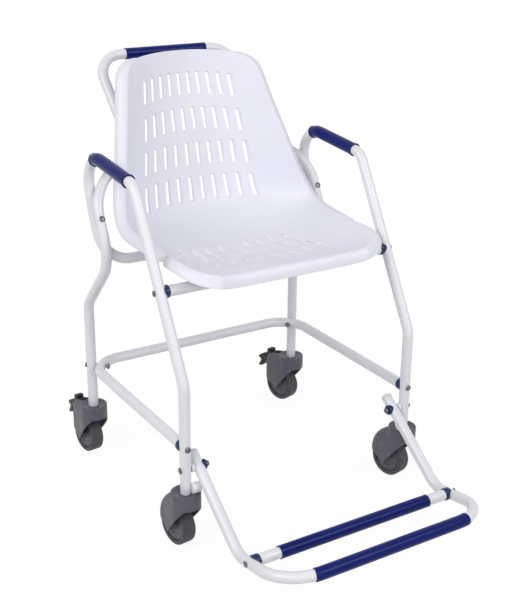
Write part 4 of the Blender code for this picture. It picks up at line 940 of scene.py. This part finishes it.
def wheel_core():
    """Hub, web with two raised rings, and rim, as one closed profile turned about the axle."""
    face = np.array((
        (CORE_R, 0.0100), (CORE_R - 0.0010, 0.0110), (0.0292, 0.0110), (0.0284, 0.0119),
        (0.0258, 0.0119), (0.0250, 0.0108), (0.0196, 0.0106), (0.0188, 0.0117), (0.0170, 0.0117),
        (0.0162, 0.0106), (0.0112, 0.0108), (0.0098, 0.0120), (0.0086, 0.0158), (0.0079, 0.0165),
        (0.0046, 0.0165), (0.0040, 0.0158), (0.0028, 0.0156),
    ))
    profile = np.vstack([face[::-1] * (1, -1), face])
    return lathe(profile, (0, TRAIL, WHEEL_R), (1, 0, 0), 96, ring=True, sharp=28.0)


def tyre():
    """A flat tread with round shoulders and a shallow step down to the rim on each side."""
    side = [(0.0352, 0.0149), (0.0342, 0.0143), (0.0322, 0.0140), (CORE_R + 0.0010, 0.0136),
            (CORE_R + GAP, 0.0130)]
    face = np.vstack([[(WHEEL_R, 0.0)], round_edge(WHEEL_R, WHEEL_HALF, 0.0038, 8), side])
    profile = np.vstack([face[:0:-1] * (1, -1), face])
    return lathe(profile, (0, TRAIL, WHEEL_R), (1, 0, 0), 112, ring=True)


def pedal():
    """The brake lever: a thick outline with rounded corners on a small cross pin."""
    body = slab(rounded_loop(PEDAL, 0.0022), BRAKE_HALF, (0, BRAKE_S, BRAKE_Z))
    return joined(body, [cross_pin(PIN_HALF, PIN_R)], bevel=0.0009, angle=50.0)


HOODS = {True: hood(True), False: hood(False)}
CORE, TYRE, LEVER = wheel_core(), tyre(), pedal()
for castor, (at_x, at_y, turn, braked) in CASTORS.items():
    place = Matrix.Translation((at_x, at_y, 0.0)) @ Matrix.Rotation(math.radians(turn), 4, "Z")
    parts = [("hood", HOODS[braked], HOOD_GREY, "fork", "castor_hood"),
             ("wheel_core", CORE, CORE_GREY, "wheel", "wheel_core"),
             ("tyre", TYRE, TYRE_GREY, "wheel", "tyre")]
    if braked:
        parts.append(("brake_pedal", LEVER, PEDAL_BLACK, "brake", "brake_pedal"))
    for part, mesh, look, body, slot in parts:
        copy = mesh.copy()
        copy.transform(place)
        instead(f"castor_{castor}_{part}", "moulding", copy, look, f"castor_{castor}_{body}", slot)


# Camera, light and floor
def photo_camera():
    """Camera axes from heading and drop, then turned about the view line by the roll."""
    a, e, r = (math.radians(v) for v in (HEADING, DROP, ROLL))
    ahead = -Vector((math.sin(a) * math.cos(e), -math.cos(a) * math.cos(e), math.sin(e)))
    right = Vector((math.cos(a), math.sin(a), 0.0))
    up = right.cross(ahead)
    across = right * math.cos(r) + up * math.sin(r)
    upward = up * math.cos(r) - right * math.sin(r)
    turn = Matrix((across, upward, -ahead)).transposed()
    lens = bpy.data.cameras.new("photo_camera")
    lens.lens = LENS
    lens.sensor_width = 36.0
    lens.clip_start, lens.clip_end = 0.05, 50.0
    made = placed("photo_camera", lens)
    made.matrix_world = Matrix.Translation(CAMERA_AT) @ turn.to_4x4()
    bpy.context.scene.camera = made


def seen(w):
    """1 where the ray comes from the camera, a reflection or a clear piece."""
    rays = w.add("ShaderNodeLightPath").outputs
    first = w.maths("MAXIMUM", rays["Is Camera Ray"], rays["Is Glossy Ray"])
    return w.maths("MAXIMUM", first, rays["Is Transmission Ray"])


def white_floor():
    """A wide level sheet that looks white and keeps a soft part of the shadow. The white share
    of what the camera sees grows from FLOOR_WHITE at the chair to all of it further out."""
    size = np.linspace(-8.0, 8.0, 9)
    x, y = np.meshgrid(size, size)
    mesh = surface(np.stack([x, y, np.full_like(x, -0.0002)], -1), around=False)
    item = placed("studio_floor", mesh)
    made, w = wired(bpy.data.materials.new("studio_floor"))
    tone = w.blend(seen(w), (0.62, 0.62, 0.63, 1.0), (0.97, 0.97, 0.97, 1.0))
    shader = w.feed(w.tree.nodes["Principled BSDF"], ("Base Color", tone), ("Roughness", 0.9),
                    ("Specular IOR Level", 0.0))
    where = w.add("ShaderNodeTexCoord").outputs["Object"]
    away = w.add("ShaderNodeVectorMath", (0, where), operation="LENGTH").outputs["Value"]
    share = w.span(away, 0.35, 1.10, FLOOR_WHITE, 1.0)
    glow = w.add("ShaderNodeEmission", ("Color", (1, 1, 1, 1)), ("Strength", 1.02))
    mixed = w.add("ShaderNodeMixShader", (0, w.maths("MULTIPLY", seen(w), share)),
                  (1, shader.outputs[0]), (2, glow.outputs[0])).outputs[0]
    w.feed(w.tree.nodes["Material Output"], ("Surface", mixed))
    mesh.materials.append(made)


def studio():
    """Even white surroundings and five round lamps that all look at the middle of the chair."""
    bpy.context.scene.world, w = wired(bpy.data.worlds.new("studio"))
    level = w.span(seen(w), 0.0, 1.0, WORLD_LEVEL, 1.0)
    w.feed(w.tree.nodes["Background"], ("Color", (1.0, 1.0, 1.0, 1.0)), ("Strength", level))
    for name, place, watts in (
        ("left_light", (-2.46, 0.0, 2.17), 20.0),
        ("key_light", (-2.13, -1.23, 2.17), 13.0),
        ("front_light", (-1.23, -2.13, 2.17), 6.0),
        ("right_light", (1.23, -2.13, 2.17), 18.0),
        ("low_light", (0.0, -2.97, 0.87), 9.5),
    ):
        lamp = bpy.data.lights.new(name, "AREA")
        lamp.shape, lamp.size, lamp.energy = "DISK", LAMP_SIZE, watts
        item = placed(name, lamp)
        item.location = place
        item.rotation_euler = (LAMP_AIM - Vector(place)).to_track_quat("-Z", "Y").to_euler()


photo_camera()
white_floor()
studio()
bpy.context.scene.view_settings.view_transform = "Standard"
